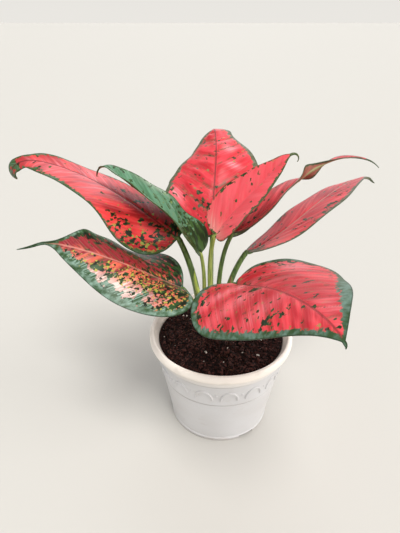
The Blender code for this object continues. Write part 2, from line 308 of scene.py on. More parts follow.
@dataclass(frozen=True)
class LeafFinish:
    """A waxy variegated leaf: a pink flush broken by green along its veins and margins.

    The wax gives a soft broad gloss. Green comes as angular blotches built of the small cells that
    the finest veins enclose, with a lime rim, as loose lime cells, as broad green ground and as an
    uneven margin. Levels run 0 to 1; triples hold them at the blade's base, middle and tip. Some
    pale patches lay painted sheen and highlights, and some deep patches lay painted shade.
    """

    name: str
    slot: str
    flush: str
    flush_deep_and_shade: str
    flush_pale_and_sheen: str
    green: str
    green_dark: str
    ground: str
    lime: str
    under: str
    margin: tuple[float, float]
    blotch: Triple
    mosaic: Triple
    patches: tuple[Patch, ...] = ()
    rib: str = "#8E3A34"
    rib_strength: float = 0.5
    vein_strength: float = 0.35
    vein_green: float = 0.0
    cell: float = 2.0
    seed: float = 0.0

    def blotch_masks(self, tree: bpy.types.NodeTree, flat: bpy.types.NodeSocket,
                     levels: bpy.types.Node) -> tuple[bpy.types.NodeSocket, ...]:
        """Build the masks of all that is made of whole cells, a little longer than wide.

        Args:
            tree: the material's node tree.
            flat: place on the blade in millimetres.
            levels: separated blotch, mosaic and green levels.

        Returns:
            Masks of the lime rims, the dark blotches, the loose lime cells and the loose dark
            cells.
        """
        warp = add_node(tree, "TexNoise", {"Scale": 0.55, "Detail": 2.0}, {"Vector": flat})
        shaken = add_node(tree, "VectorMath", {"operation": "MULTIPLY_ADD", 1: (3.0, 3.0, 0.0)},
                          {0: warp.outputs["Color"], 2: flat})
        placed = add_node(tree, "Mapping", {"Location": (self.seed, self.seed, 0.0),
                                            "Scale": (1 / self.cell, 0.87 / self.cell, 1 / 40)},
                          {"Vector": shaken.outputs[0]})
        cells = add_node(tree, "TexVoronoi", {"Scale": 1.0, "Randomness": 1.0},
                         {"Vector": placed.outputs[0]})
        clusters = add_node(tree, "TexNoise", {"Scale": 0.42, "Detail": 2.5, "Roughness": 0.55},
                            {"Vector": cells.outputs["Position"]})
        pick = add_node(tree, "SeparateColor", None, {0: cells.outputs["Color"]})
        field = add_node(tree, "Math", {"operation": "ADD"},
                         {0: clusters.outputs["Fac"],
                          1: add_node(tree, "Math", {"operation": "MULTIPLY"},
                                      {0: pick.outputs[0], 1: 0.1}).outputs[0]}).outputs[0]
        limit = add_node(tree, "Math", {"operation": "SUBTRACT"},
                         {0: 0.735,
                          1: add_node(tree, "Math", {"operation": "MULTIPLY"},
                                      {0: levels.outputs["X"], 1: 0.27}).outputs[0]}).outputs[0]
        over = add_node(tree, "Math", {"operation": "SUBTRACT"}, {0: field, 1: limit}).outputs[0]
        loose = add_node(tree, "Math", {"operation": "SUBTRACT"},
                         {0: add_node(tree, "Math", {"operation": "MULTIPLY"},
                                      {0: levels.outputs["Y"], 1: 0.5}).outputs[0],
                          1: pick.outputs[1]}).outputs[0]
        loose_dark = add_node(tree, "Math", {"operation": "SUBTRACT"},
                              {0: add_node(tree, "Math", {"operation": "MULTIPLY"},
                                           {0: levels.outputs["Y"], 1: 0.42}).outputs[0],
                               1: pick.outputs[2]}).outputs[0]
        return (add_node(tree, "MapRange", SMOOTH, {0: over, 1: -0.034, 2: -0.024}).outputs[0],
                add_node(tree, "MapRange", SMOOTH, {0: over, 1: -0.004, 2: 0.004}).outputs[0],
                add_node(tree, "MapRange", SMOOTH, {0: loose, 1: -0.01, 2: 0.01}).outputs[0],
                add_node(tree, "MapRange", SMOOTH, {0: loose_dark, 1: -0.01, 2: 0.01}).outputs[0])

    def upper(self) -> bpy.types.Material:
        """Build the upper side: flush, streaks, green ground, cells, margin and rib.

        Returns:
            The material.
        """
        material, tree, shader = new_material(self.name)
        veins = add_node(tree, "Attribute", {"attribute_name": "vein_mm"}).outputs["Vector"]
        flat = add_node(tree, "Attribute", {"attribute_name": "flat_mm"}).outputs["Vector"]
        across = add_node(tree, "SeparateXYZ", None, {0: veins}).outputs["Y"]
        edge = add_node(tree, "Attribute", {"attribute_name": "edge_mm"}).outputs["Fac"]
        line = add_node(tree, "Attribute", {"attribute_name": "vein_line"}).outputs["Fac"]
        first = add_node(tree, "Attribute", {"attribute_name": "paint_first"}).outputs["Vector"]
        levels = add_node(tree, "SeparateXYZ", None, {0: first})
        second = add_node(tree, "Attribute", {"attribute_name": "paint_second"}).outputs["Vector"]
        tones = add_node(tree, "SeparateXYZ", None, {0: second})

        # The flush, deeper in clouds and paler in streaks that run with the side veins; deep and pale
        # patches deepen and pale it further, and some of them are painted shade and painted sheen.
        clouds = grain(tree, veins, (9, 20, 9), 3, self.seed)
        deep = add_node(tree, "Math", {"operation": "ADD"},
                        {0: add_node(tree, "MapRange", SMOOTH,
                                     {0: clouds, 1: 0.66, 2: 0.36}).outputs[0],
                         1: tones.outputs["Y"]}).outputs[0]
        colour = add_node(tree, "Mix", COLOURS,
                          {0: add_node(tree, "Math", {"operation": "MINIMUM"},
                                       {0: deep, 1: 1.0}).outputs[0],
                           6: self.flush, 7: self.flush_deep_and_shade}).outputs[2]
        streaks = add_node(tree, "MapRange", SMOOTH,
                           {0: grain(tree, veins, (2.4, 22, 9), 4, self.seed + 31, 0.3), 1: 0.45,
                            2: 0.75}).outputs[0]
        pale = add_node(tree, "Math", {"operation": "MULTIPLY"},
                        {0: streaks,
                         1: add_node(tree, "Math", {"operation": "ADD"},
                                     {0: tones.outputs["X"], 1: 0.12}).outputs[0]}).outputs[0]
        pale = add_node(tree, "Math", {"operation": "ADD"},
                        {0: pale,
                         1: add_node(tree, "Math", {"operation": "MULTIPLY"},
                                     {0: tones.outputs["X"], 1: 0.55}).outputs[0]}).outputs[0]
        pale = add_node(tree, "Math", {"operation": "MINIMUM"},
                        {0: add_node(tree, "Math", {"operation": "MAXIMUM"},
                                     {0: pale, 1: 0.0}).outputs[0],
                         1: 1.0}).outputs[0]
        colour = add_node(tree, "Mix", COLOURS, {0: pale, 6: colour, 7: self.flush_pale_and_sheen}).outputs[2]
        colour = add_node(tree, "Mix", COLOURS,
                          {0: add_node(tree, "Math", {"operation": "MULTIPLY"},
                                       {0: line, 1: self.vein_strength}).outputs[0],
                           6: colour, 7: self.flush_deep_and_shade}).outputs[2]

        # Green dashes on the side veins, and the broad green ground.
        dashes = add_node(tree, "MapRange", SMOOTH,
                          {0: grain(tree, veins, (3, 8, 3), 3, self.seed + 71), 1: 0.46,
                           2: 0.56}).outputs[0]
        dashes = add_node(tree, "Math", {"operation": "MULTIPLY"},
                          {0: add_node(tree, "Math", {"operation": "POWER"},
                                       {0: line, 1: 0.4}).outputs[0],
                           1: dashes}).outputs[0]
        colour = add_node(tree, "Mix", COLOURS,
                          {0: add_node(tree, "Math", {"operation": "MULTIPLY"},
                                       {0: dashes, 1: self.vein_green}).outputs[0],
                           6: colour, 7: self.green}).outputs[2]
        ground_noise = grain(tree, flat, (7, 7, 7), 4, self.seed + 61, 0.5)
        ground_level = add_node(tree, "Math", {"operation": "ADD"},
                                {0: ground_noise,
                                 1: add_node(tree, "Math", {"operation": "MULTIPLY"},
                                             {0: levels.outputs["Z"], 1: 0.5}).outputs[0]}).outputs[0]
        ground_tone = add_node(tree, "Mix", COLOURS,
                               {0: add_node(tree, "MapRange", SMOOTH,
                                            {0: grain(tree, veins, (2.2, 16, 3), 3, self.seed + 7),
                                             1: 0.35, 2: 0.65}).outputs[0],
                                6: self.ground, 7: self.green}).outputs[2]
        colour = add_node(tree, "Mix", COLOURS,
                          {0: add_node(tree, "MapRange", SMOOTH,
                                       {0: ground_level, 1: 0.735, 2: 0.775}).outputs[0],
                           6: colour, 7: ground_tone}).outputs[2]

        # Whole cells: lime first, then dark green over its lime rim.
        green = add_node(tree, "Mix", COLOURS,
                         {0: add_node(tree, "MapRange", SMOOTH,
                                      {0: grain(tree, veins, (4, 6, 3), 2, self.seed + 9), 1: 0.44,
                                       2: 0.6}).outputs[0],
                          6: self.green_dark, 7: self.green}).outputs[2]
        rims, blotches, loose, loose_dark = self.blotch_masks(tree, flat, levels)
        colour = add_node(tree, "Mix", COLOURS, {0: loose, 6: colour, 7: self.lime}).outputs[2]
        rim_share = add_node(tree, "Math", {"operation": "ADD"},
                             {0: levels.outputs["Y"], 1: 0.12}).outputs[0]
        rim_share = add_node(tree, "Math", {"operation": "MINIMUM"},
                             {0: add_node(tree, "Math", {"operation": "MAXIMUM"},
                                          {0: rim_share, 1: 0.0}).outputs[0],
                              1: 0.8}).outputs[0]
        colour = add_node(tree, "Mix", COLOURS,
                          {0: add_node(tree, "Math", {"operation": "MULTIPLY"},
                                       {0: rims, 1: rim_share}).outputs[0],
                           6: colour, 7: self.lime}).outputs[2]
        colour = add_node(tree, "Mix", COLOURS, {0: loose_dark, 6: colour, 7: green}).outputs[2]
        colour = add_node(tree, "Mix", COLOURS, {0: blotches, 6: colour, 7: green}).outputs[2]

        # The ragged green margin with its fine dark line, and the midrib.
        rag = grain(tree, flat, (3.6, 3.6, 5), 5, self.seed + 19, 0.6)
        rag = add_node(tree, "Math", {"operation": "MULTIPLY"},
                       {0: add_node(tree, "Math", {"operation": "SUBTRACT"},
                                    {0: rag, 1: 0.5}).outputs[0],
                        1: add_node(tree, "Math", {"operation": "ADD"},
                                    {0: add_node(tree, "Math", {"operation": "MULTIPLY"},
                                                 {0: tones.outputs["Z"], 1: 1.1}).outputs[0],
                                     1: 6.0}).outputs[0]}).outputs[0]
        reach = add_node(tree, "Math", {"operation": "SUBTRACT"},
                         {0: add_node(tree, "Math", {"operation": "ADD"}, {0: edge, 1: rag}).outputs[0],
                          1: tones.outputs["Z"]}).outputs[0]
        broad = add_node(tree, "Math", {"operation": "MULTIPLY"},
                         {0: tones.outputs["Z"], 1: 0.022}).outputs[0]
        mottle = add_node(tree, "Math", {"operation": "ADD"},
                          {0: grain(tree, flat, (5, 5, 5), 4, self.seed + 23), 1: broad}).outputs[0]
        margin_tone = add_node(tree, "Mix", COLOURS,
                               {0: add_node(tree, "MapRange", SMOOTH,
                                            {0: mottle, 1: 0.44, 2: 0.86}).outputs[0],
                                6: self.green, 7: self.ground}).outputs[2]
        rim_line = add_node(tree, "MapRange", SMOOTH, {0: edge, 1: 0.9, 2: 0.3}).outputs[0]
        margin_tone = add_node(tree, "Mix", COLOURS,
                               {0: add_node(tree, "Math", {"operation": "MULTIPLY"},
                                            {0: rim_line, 1: 0.7}).outputs[0],
                                6: margin_tone, 7: self.green_dark}).outputs[2]
        colour = add_node(tree, "Mix", COLOURS,
                          {0: add_node(tree, "MapRange", SMOOTH,
                                       {0: reach, 1: 0.8, 2: -0.8}).outputs[0],
                           6: colour, 7: margin_tone}).outputs[2]
        rib = add_node(tree, "MapRange", SMOOTH,
                       {0: add_node(tree, "Math", {"operation": "ABSOLUTE"}, {0: across}).outputs[0],
                        1: 1.0, 2: 0.35}).outputs[0]
        rib = add_node(tree, "Math", {"operation": "MULTIPLY"},
                       {0: rib,
                        1: add_node(tree, "MapRange", SMOOTH,
                                    {0: edge, 1: 1.0, 2: 3.0}).outputs[0]}).outputs[0]
        colour = add_node(tree, "Mix", COLOURS,
                          {0: add_node(tree, "Math", {"operation": "MULTIPLY"},
                                       {0: rib, 1: self.rib_strength}).outputs[0],
                           6: colour, 7: self.rib}).outputs[2]
        # Soft unevenness in tone and in the wax, whose gloss is low and broad.
        shade = grain(tree, veins, (12, 26, 14), 3, self.seed + 3)
        tone = add_node(tree, "HueSaturation", None, {"Color": colour})
        tree.links.new(add_node(tree, "Math", {"operation": "ADD"},
                                {0: add_node(tree, "Math", {"operation": "MULTIPLY"},
                                             {0: shade, 1: 0.36}).outputs[0],
                                 1: 0.82}).outputs[0],
                       tone.inputs["Value"])
        tree.links.new(tone.outputs[0], shader.inputs["Base Color"])
        dull = grain(tree, veins, (6, 6, 6), 3, self.seed + 5)
        tree.links.new(add_node(tree, "Math", {"operation": "ADD"},
                                {0: add_node(tree, "Math", {"operation": "MULTIPLY"},
                                             {0: dull, 1: 0.18}).outputs[0],
                                 1: 0.33}).outputs[0],
                       shader.inputs["Roughness"])
        shader.inputs["IOR"].default_value = 1.45
        shader.inputs["Specular IOR Level"].default_value = 0.36
        shader.inputs["Coat Weight"].default_value = 0.04
        shader.inputs["Coat Roughness"].default_value = 0.3
        tree.links.new(add_node(tree, "Bump", {"Distance": 0.12 * MM, "Strength": 1.0},
                                {"Height": grain(tree, veins, (1.1, 1.8, 1), 3, self.seed)}).outputs[0],
                       shader.inputs["Normal"])
        return material

    def lower(self) -> bpy.types.Material:
        """Build the underside: the same leaf seen through a matt pale skin.

        Returns:
            The material.
        """
        material, tree, shader = new_material(self.name + "_under")
        veins = add_node(tree, "Attribute", {"attribute_name": "vein_mm"}).outputs["Vector"]
        edge = add_node(tree, "Attribute", {"attribute_name": "edge_mm"}).outputs["Fac"]
        cloud = add_node(tree, "MapRange", SMOOTH,
                         {0: grain(tree, veins, (5, 12, 6), 3, self.seed + 2), 1: 0.42,
                          2: 0.62}).outputs[0]
        colour = add_node(tree, "Mix", COLOURS,
                          {0: add_node(tree, "Math", {"operation": "MULTIPLY"},
                                       {0: cloud, 1: 0.3}).outputs[0],
                           6: self.under, 7: self.green}).outputs[2]
        line = add_node(tree, "Attribute", {"attribute_name": "vein_line"}).outputs["Fac"]
        colour = add_node(tree, "Mix", COLOURS,
                          {0: add_node(tree, "Math", {"operation": "MULTIPLY"},
                                       {0: line, 1: 0.3}).outputs[0],
                           6: colour, 7: self.green}).outputs[2]
        across = add_node(tree, "SeparateXYZ", None, {0: veins}).outputs["Y"]
        rib = add_node(tree, "MapRange", SMOOTH,
                       {0: add_node(tree, "Math", {"operation": "ABSOLUTE"}, {0: across}).outputs[0],
                        1: 1.5, 2: 0.5}).outputs[0]
        colour = add_node(tree, "Mix", COLOURS,
                          {0: add_node(tree, "Math", {"operation": "MULTIPLY"},
                                       {0: rib, 1: 0.7}).outputs[0],
                           6: colour, 7: "#9AA070"}).outputs[2]
        rag = add_node(tree, "Math", {"operation": "MULTIPLY"},
                       {0: grain(tree, veins, (3, 8, 5), 3, self.seed + 19), 1: 2.6}).outputs[0]
        rim = add_node(tree, "MapRange", SMOOTH,
                       {0: add_node(tree, "Math", {"operation": "SUBTRACT"},
                                    {0: edge, 1: rag}).outputs[0],
                        1: 0.8, 2: -0.4}).outputs[0]
        colour = add_node(tree, "Mix", COLOURS, {0: rim, 6: colour, 7: self.green}).outputs[2]
        tree.links.new(colour, shader.inputs["Base Color"])
        shader.inputs["Roughness"].default_value = 0.5
        tree.links.new(add_node(tree, "Bump", {"Distance": 0.12 * MM, "Strength": 1.0},
                                {"Height": grain(tree, veins, (1.1, 1.8, 1), 3, self.seed)}).outputs[0],
                       shader.inputs["Normal"])
        return material


RED_SPLOTCHED = LeafFinish(
    "waxy_leaf_red_splotched", "leaf_red", "#EA3C3C", "#A81A1E", "#DC8A92", "#34501F", "#121C08",
    "#5C7A66", "#8E9440", "#A05A4C", (1.4, 1.8), (0.4, 0.06, 0.1), (0.1, 0.0, 0.0),
    (*patches(Paint.BLOTCH, (0.27, 0.74, 0.1, 0.24, 0.55), (0.12, 0.25, 0.05, 0.25, 0.45),
              (0.05, -0.2, 0.06, 0.6, 0.5), (0.4, -0.35, 0.03, 0.2, 0.6), (0.31, -0.3, 0.02, 0.2, 0.7),
              (0.34, 0.2, 0.06, 0.3, -0.5)),
     *patches(Paint.MOSAIC, (0.12, 0.85, 0.09, 0.2, 0.5)),
     # Painted sheen: these pale patches lay the mauve band across the middle and the paler tip, where
     # light glances off the wax.
     *patches(Paint.PALE, (0.55, 0.1, 0.12, 0.9, 0.7), (0.82, 0.3, 0.12, 0.8, 0.55)),
     # Painted shade: the first deep patch darkens the right half near the base, where the left_back leaf
     # shades it.
     *patches(Paint.DEEP_AND_SHADE, (0.2, -0.6, 0.24, 0.6, 1.3), (1.03, 0.0, 0.08, 2.0, 1.4)),
     *patches(Paint.GREEN, (0.84, 0.75, 0.05, 0.3, 0.6), (1.06, 0.0, 0.07, 2.0, -0.85)),
     *patches(Paint.MARGIN, (0.12, 1.0, 0.1, 0.4, 1.5), (0.72, 1.0, 0.14, 0.4, 2.0))),
    rib="#4A1512", rib_strength=0.7, vein_strength=0.12, seed=3.0)
# Its pale teal ground colours its margins and lays a painted bluish sheen on them.
ORANGE_SPECKLED = LeafFinish(
    "waxy_leaf_orange_speckled", "leaf_speckled", "#E2684E", "#8A1A24", "#ECCFC6", "#2B4A24", "#0E1A08",
    "#86A294", "#A6A043", "#A88C78", (4.0, 2.4), (0.98, 0.5, 0.35), (0.38, 0.22, 0.1),
    (*patches(Paint.MOSAIC, (0.45, 0.35, 0.2, 0.25, 0.25), (0.4, -0.7, 0.6, 0.6, -0.8),
              (0.5, 0.72, 0.22, 0.2, -0.5)),
     *patches(Paint.GREEN, (0.45, 0.84, 0.32, 0.3, 0.72), (0.8, 0.62, 0.13, 0.36, 0.9)),
     *patches(Paint.BLOTCH, (0.62, 0.42, 0.09, 0.14, 0.6), (0.58, 0.84, 0.06, 0.1, 0.8),
              (0.5, 0.12, 0.25, 0.14, -0.55), (0.75, -0.9, 0.1, 0.3, 0.7),
              (0.45, -0.75, 0.4, 0.3, 0.55), (0.6, -0.25, 0.3, 0.2, -0.4),
              (0.55, 0.68, 0.22, 0.2, -0.5)),
     # Painted shade: the deep patch darkens the whole right half, which folds up into shade.
     *patches(Paint.DEEP_AND_SHADE, (0.4, -0.6, 0.7, 0.42, 2.4)),
     # Painted highlight: the pale patch lays a whitish glare on the left half.
     *patches(Paint.PALE, (0.54, 0.68, 0.22, 0.24, 1.3)),
     *patches(Paint.MARGIN, (0.5, 1.0, 0.3, 0.5, 2.0))),
    rib="#D08E80", rib_strength=0.55, vein_strength=0.3, vein_green=0.85, cell=1.5, seed=11.0)
BLUE_GREEN = LeafFinish(
    "waxy_leaf_blue_green", "leaf_green", "#5C8A6C", "#3E6A48", "#9AA892", "#355420", "#1A2C0A",
    "#6B917A", "#7E8A3A", "#3C5A22", (1.0, 1.0), (0.85, 0.2, 0.22), (0.05, 0.0, 0.0),
    (*patches(Paint.BLOTCH, (0.08, 0.0, 0.15, 2.0, 0.9), (0.9, -0.5, 0.08, 0.6, 0.4)),
     *patches(Paint.GREEN, (0.5, 0.0, 1.0, 2.0, 0.4)),
     *patches(Paint.PALE, (0.6, -0.95, 0.16, 0.2, 0.9)),
     *patches(Paint.MOSAIC, (0.12, -0.5, 0.1, 0.5, 0.12))),
    rib="#2E4A1C", rib_strength=0.4, vein_strength=0.25, seed=23.0)
CORAL_QUILTED = LeafFinish(
    "waxy_leaf_coral_quilted", "leaf_coral", "#E63E4A", "#C6222E", "#F39AA2", "#4C5638", "#2A301C",
    "#7E7A6A", "#8A8654", "#C48480", (4.6, 4.6), (0.2, 0.04, 0.2), (0.03, 0.01, 0.02),
    (*patches(Paint.BLOTCH, (0.26, 0.25, 0.05, 0.18, 0.5), (0.17, 0.12, 0.05, 0.2, 0.45),
              (0.72, -0.35, 0.04, 0.3, 0.42), (0.78, 0.6, 0.05, 0.2, 0.5), (0.6, 0.05, 0.03, 0.15, 0.5),
              (0.27, -0.1, 0.04, 0.12, 0.5), (0.25, 0.88, 0.14, 0.2, 0.45),
              (0.62, -0.9, 0.2, 0.14, 0.3)),
     # Painted highlights: the first two pale patches lay whitish gloss on the right half.
     *patches(Paint.PALE, (0.66, -0.36, 0.035, 0.16, 1.1), (0.5, -0.4, 0.025, 0.16, 0.9),
              (0.24, 0.85, 0.08, 0.2, 0.9)),
     *patches(Paint.DEEP_AND_SHADE, (0.38, 0.55, 0.07, 0.25, 0.5), (0.62, 0.5, 0.05, 0.25, 0.6),
              (0.84, 0.3, 0.04, 0.2, 0.9)),
     *patches(Paint.GREEN, (1.0, 0.1, 0.045, 2.0, 0.7))),
    rib="#6E2A2A", rib_strength=0.8, vein_strength=0.6, vein_green=0.75, seed=37.0)
CORAL_YOUNG = LeafFinish(
    "waxy_leaf_coral_young", "leaf_coral", "#F15A64", "#EA4C56", "#F4A49C", "#45572E", "#263312",
    "#6A7450", "#8C8444", "#C88884", (0.6, 0.8), (0.0, 0.0, 0.03), (0.0, 0.0, 0.02),
    (*patches(Paint.BLOTCH, (0.45, 0.95, 0.32, 0.1, 0.85), (0.7, -0.94, 0.25, 0.16, 0.95),
              (0.68, 0.4, 0.02, 0.06, 0.5), (0.2, -0.95, 0.16, 0.14, 0.5)),
     *patches(Paint.PALE, (0.03, 0.1, 0.09, 1.2, 1.0)),
     *patches(Paint.GREEN, (0.0, 0.2, 0.05, 2.0, 0.75)),
     *patches(Paint.MARGIN, (0.75, -1.0, 0.2, 0.3, 1.4))),
    rib="#D8606A", rib_strength=0.2, vein_strength=0.05, seed=41.0)
CRIMSON = LeafFinish(
    "waxy_leaf_crimson", "leaf_red", "#E43E48", "#A41C22", "#E4787E", "#3C4A2C", "#1C240F", "#5A6450",
    "#7C7440", "#9A5446", (1.0, 3.4), (0.3, 0.08, 0.1), (0.02, 0.0, 0.0),
    (*patches(Paint.BLOTCH, (0.12, -0.1, 0.05, 0.3, 0.5)),
     *patches(Paint.PALE, (0.45, 0.5, 0.15, 0.4, 0.4), (0.8, 0.0, 0.15, 2.0, 0.4)),
     *patches(Paint.DEEP_AND_SHADE, (0.25, -0.4, 0.12, 0.4, 0.7), (0.61, 0.8, 0.06, 0.5, 1.0))),
    rib="#6A1C1C", rib_strength=0.5, vein_strength=0.2, seed=53.0)
DUSTY_ROSE = LeafFinish(
    "waxy_leaf_dusty_rose", "leaf_rose", "#E24C54", "#BC323C", "#DE8480", "#4E5A40", "#2A3220",
    "#7C7868", "#8C8060", "#C08884", (0.8, 1.6), (0.2, 0.08, 0.12), (0.0, 0.0, 0.0),
    (*patches(Paint.BLOTCH, (0.46, -0.8, 0.09, 0.25, 0.6), (0.35, -0.45, 0.03, 0.15, 0.5),
              (0.3, 1.0, 0.05, 0.2, 0.6), (0.62, -0.6, 0.06, 0.3, 0.3)),
     *patches(Paint.DEEP_AND_SHADE, (0.44, -0.4, 0.08, 0.3, 0.8), (0.6, 0.3, 0.1, 0.3, 0.5)),
     *patches(Paint.GREEN, (0.03, 0.0, 0.07, 2.0, 0.6), (0.97, 0.0, 0.06, 2.0, 0.6)),
     *patches(Paint.PALE, (0.15, -0.7, 0.12, 0.4, 0.4)),
     *patches(Paint.MARGIN, (0.6, -1.0, 0.16, 0.3, 2.0))),
    rib="#C09A8C", rib_strength=0.8, vein_strength=0.25, seed=61.0)
CORAL_BROAD = LeafFinish(
    "waxy_leaf_coral_broad", "leaf_coral", "#E8424C", "#BC202C", "#EE8A92", "#2F4C28", "#182A13",
    "#6A877A", "#7E8A4A", "#C48480", (2.4, 4.4), (0.22, 0.1, 0.1), (0.03, 0.0, 0.03),
    (*patches(Paint.BLOTCH, (0.66, -0.5, 0.05, 0.22, 0.6), (0.34, -0.1, 0.035, 0.08, 1.0),
              (0.1, 0.9, 0.05, 0.15, 0.6), (0.2, 0.72, 0.03, 0.1, 0.5), (0.15, 0.05, 0.08, 0.1, 0.4),
              (0.12, -0.8, 0.07, 0.3, 0.35), (0.2, -0.97, 0.14, 0.1, 0.6), (0.46, -0.7, 0.3, 0.3, 0.12),
              (0.16, 0.97, 0.22, 0.12, 0.7)),
     *patches(Paint.MARGIN, (0.12, 1.0, 0.14, 0.4, 1.6), (0.76, 1.0, 0.14, 0.6, 8.0),
              (0.55, -1.0, 0.2, 0.4, 2.0)),
     *patches(Paint.PALE, (0.25, 0.7, 0.12, 0.2, 0.8), (0.21, -0.4, 0.035, 0.5, 0.7),
              (0.36, -0.4, 0.05, 0.5, 0.55), (0.56, -0.4, 0.05, 0.5, 0.4), (0.85, 0.3, 0.1, 0.3, 0.3)),
     *patches(Paint.DEEP_AND_SHADE, (0.28, -0.5, 0.03, 0.6, 0.7), (0.14, -0.5, 0.03, 0.6, 0.6),
              (0.46, -0.4, 0.04, 0.6, 0.5), (0.5, 0.25, 0.15, 0.25, 0.5), (0.2, 0.3, 0.12, 0.3, 0.35))),
    rib="#6E2424", rib_strength=0.55, vein_strength=0.35, vein_green=0.45, seed=73.0)


# ---------------------------------------------------------------- leaves


@dataclass(frozen=True)
class Swell:
    """A stretch where one half of a blade is wider or narrower than its plain outline.

    The side is 1 for the left half and -1 for the right; the amount is a share of the half width.
    """

    side: int
    share: float
    spread: float
    amount: float


@dataclass(frozen=True)
class Leaf:
    """One leaf's design, in millimetres and degrees, as the frame's blades are made.

    Triples are values at the blade's base, middle and tip: heading turns from +X towards +Y, climb
    is the midrib's slope, roll lifts the left half, fold lifts both halves and curl bends them back
    down. fullness shapes the outline. The rest is detail: stalk scales the stalk's thickness; tail
    is the drawn-out tip, with its width and the turn and drop of its hook; flip turns the blade
    over for a stretch; vein_lean is how far side veins run forward, left and right; wave ripples
    the margins; quilt and vein are the depths of the relief.
    """

    name: str
    base: Triple
    length: float
    width: float
    uneven: float
    heading: Triple
    climb: Triple
    roll: Triple
    fold: Triple
    curl: float
    fullness: tuple[float, float]
    tip_droop: float
    ring_angle: float
    ring_height: float
    finish: LeafFinish
    tail: float = 6.0
    tail_width: float = 2.2
    tail_turn: float = 0.0
    tail_drop: float = 20.0
    flip: Triple = (0.0, 0.7, 0.06)
    swells: tuple[Swell, ...] = ()
    vein_lean: tuple[float, float] = (0.75, 0.75)
    wave: Triple = (1.2, 3.0, 0.0)
    quilt: float = 0.5
    vein: float = 0.45
    vein_count: int = 9
    stalk: float = 1.0
    young_stalk: bool = False


LEAVES: tuple[Leaf, ...] = (
    Leaf("left_upper", (-40, 0, 201), 165, 70, 0.15, (144, 167, 191), (24, 26, 6), (-43, 4, -44),
         (-14, 3, -5), 15, (0.41, 0.91), 40, 180, 106, RED_SPLOTCHED, stalk=1.3, tail=15,
         tail_width=14, tail_drop=110, wave=(1.2, 2.5, 0.6), vein_lean=(1.0, 1.0)),
    Leaf("left_lower", (-36, -18, 160), 132, 86, 0.04, (210, 199, 188), (38, 32, 12),
         (-22, -21, -95), (34, -5, 0), 34, (0.44, 1.3), 28, 226, 101, ORANGE_SPECKLED, tail=15,
         tail_drop=-10, wave=(1.0, 2.2, 1.2), vein_lean=(1.1, 1.3),
         swells=(Swell(-1, 0.745, 0.06, 0.22), Swell(-1, 0.92, 0.07, -0.6), Swell(1, 0.95, 0.07, -0.5))),
    Leaf("left_back", (-20, 1, 185), 123, 56, 0.0, (167, 164, 162), (63, 36, 40), (-7, 12, 5),
         (23, 20, 18), 3, (0.42, 0.97), 100, 140, 107, BLUE_GREEN, tail=6, tail_drop=20,
         stalk=0.85, young_stalk=True, wave=(0.8, 3.0, 0.0), vein_lean=(1.6, 1.6),
         swells=(Swell(-1, 0.30, 0.13, -0.30),)),
    Leaf("back", (-9, 42, 182), 152, 99, 0.0, (78, 86, 96), (100, 32, 12), (3, -6, -15),
         (12, -12, -20), 9, (0.42, 0.92), 42, 92, 109, CORAL_QUILTED, tail=3, tail_width=6,
         tail_drop=30, wave=(1.3, 3.0, 2.0), quilt=2.4, vein=0.8, vein_count=7,
         vein_lean=(0.6, 0.6), swells=(Swell(-1, 0.93, 0.05, 0.5), Swell(1, 0.93, 0.05, -0.12),
                                     Swell(1, 0.78, 0.035, 0.07), Swell(1, 0.44, 0.05, 0.05))),
    Leaf("centre", (-8, -6, 206), 93, 55, 0.0, (4, 2, 0), (60, 48, 57), (20, 17, 32),
         (10, 9, 0), -8, (0.42, 1.03), 35, 0, 119, CORAL_YOUNG, tail=11, tail_drop=150,
         quilt=0.25, vein=0.2, young_stalk=True, wave=(0.5, 3.0, 0.0)),
    Leaf("right_back", (9, 4, 204), 145, 59, 0.0, (26, 15, 3), (16, 37, -26), (-4, -21, 12),
         (22, 13, 9), 10, (0.42, 1.1), 0, 48, 108, CRIMSON, tail=10, tail_drop=20,
         flip=(-80.0, 0.63, 0.07), wave=(0.6, 3.0, 0.0), vein_lean=(1.3, 1.3),
         swells=(Swell(-1, 0.68, 0.17, -0.8), Swell(1, 0.68, 0.17, -0.8), Swell(-1, 0.9, 0.08, -0.4),
                 Swell(1, 0.82, 0.08, 0.1), Swell(1, 0.93, 0.06, -0.4))),
    Leaf("right", (23, 10, 182), 160, 57, 0.0, (15, 28, 40), (18, 28, -24), (-22, -16, -36),
         (3, 3, -8), 10, (0.42, 0.9), 12, 6, 105, DUSTY_ROSE, stalk=1.25, tail=9,
         tail_drop=-10,
         wave=(0.6, 3.0, 0.0), vein_lean=(1.8, 1.8),
         swells=(Swell(-1, 0.92, 0.09, -0.6), Swell(1, 0.95, 0.07, -0.5), Swell(-1, 0.6, 0.1, 0.08))),
    Leaf("front", (9, -32, 173), 155, 108, 0.0, (-68, -71, -73), (29, 22, -2), (13, 17, 33),
         (31, 0, 5), 30, (0.52, 1.05), 20, 300, 103, CORAL_BROAD, tail=3, tail_drop=60,
         wave=(0.7, 2.6, 0.3), quilt=1.1, vein=0.5, vein_lean=(0.9, 1.7),
         swells=(Swell(1, 0.07, 0.06, -0.16), Swell(1, 0.64, 0.10, -0.04),
                 Swell(1, 0.84, 0.09, 0.10), Swell(-1, 0.30, 0.20, 0.10))),
)

CANE_CENTRE = np.array((-10.0, 0.0, 0.0))
CANE_TOP = 118.0
PETIOLE_RING = 8.9


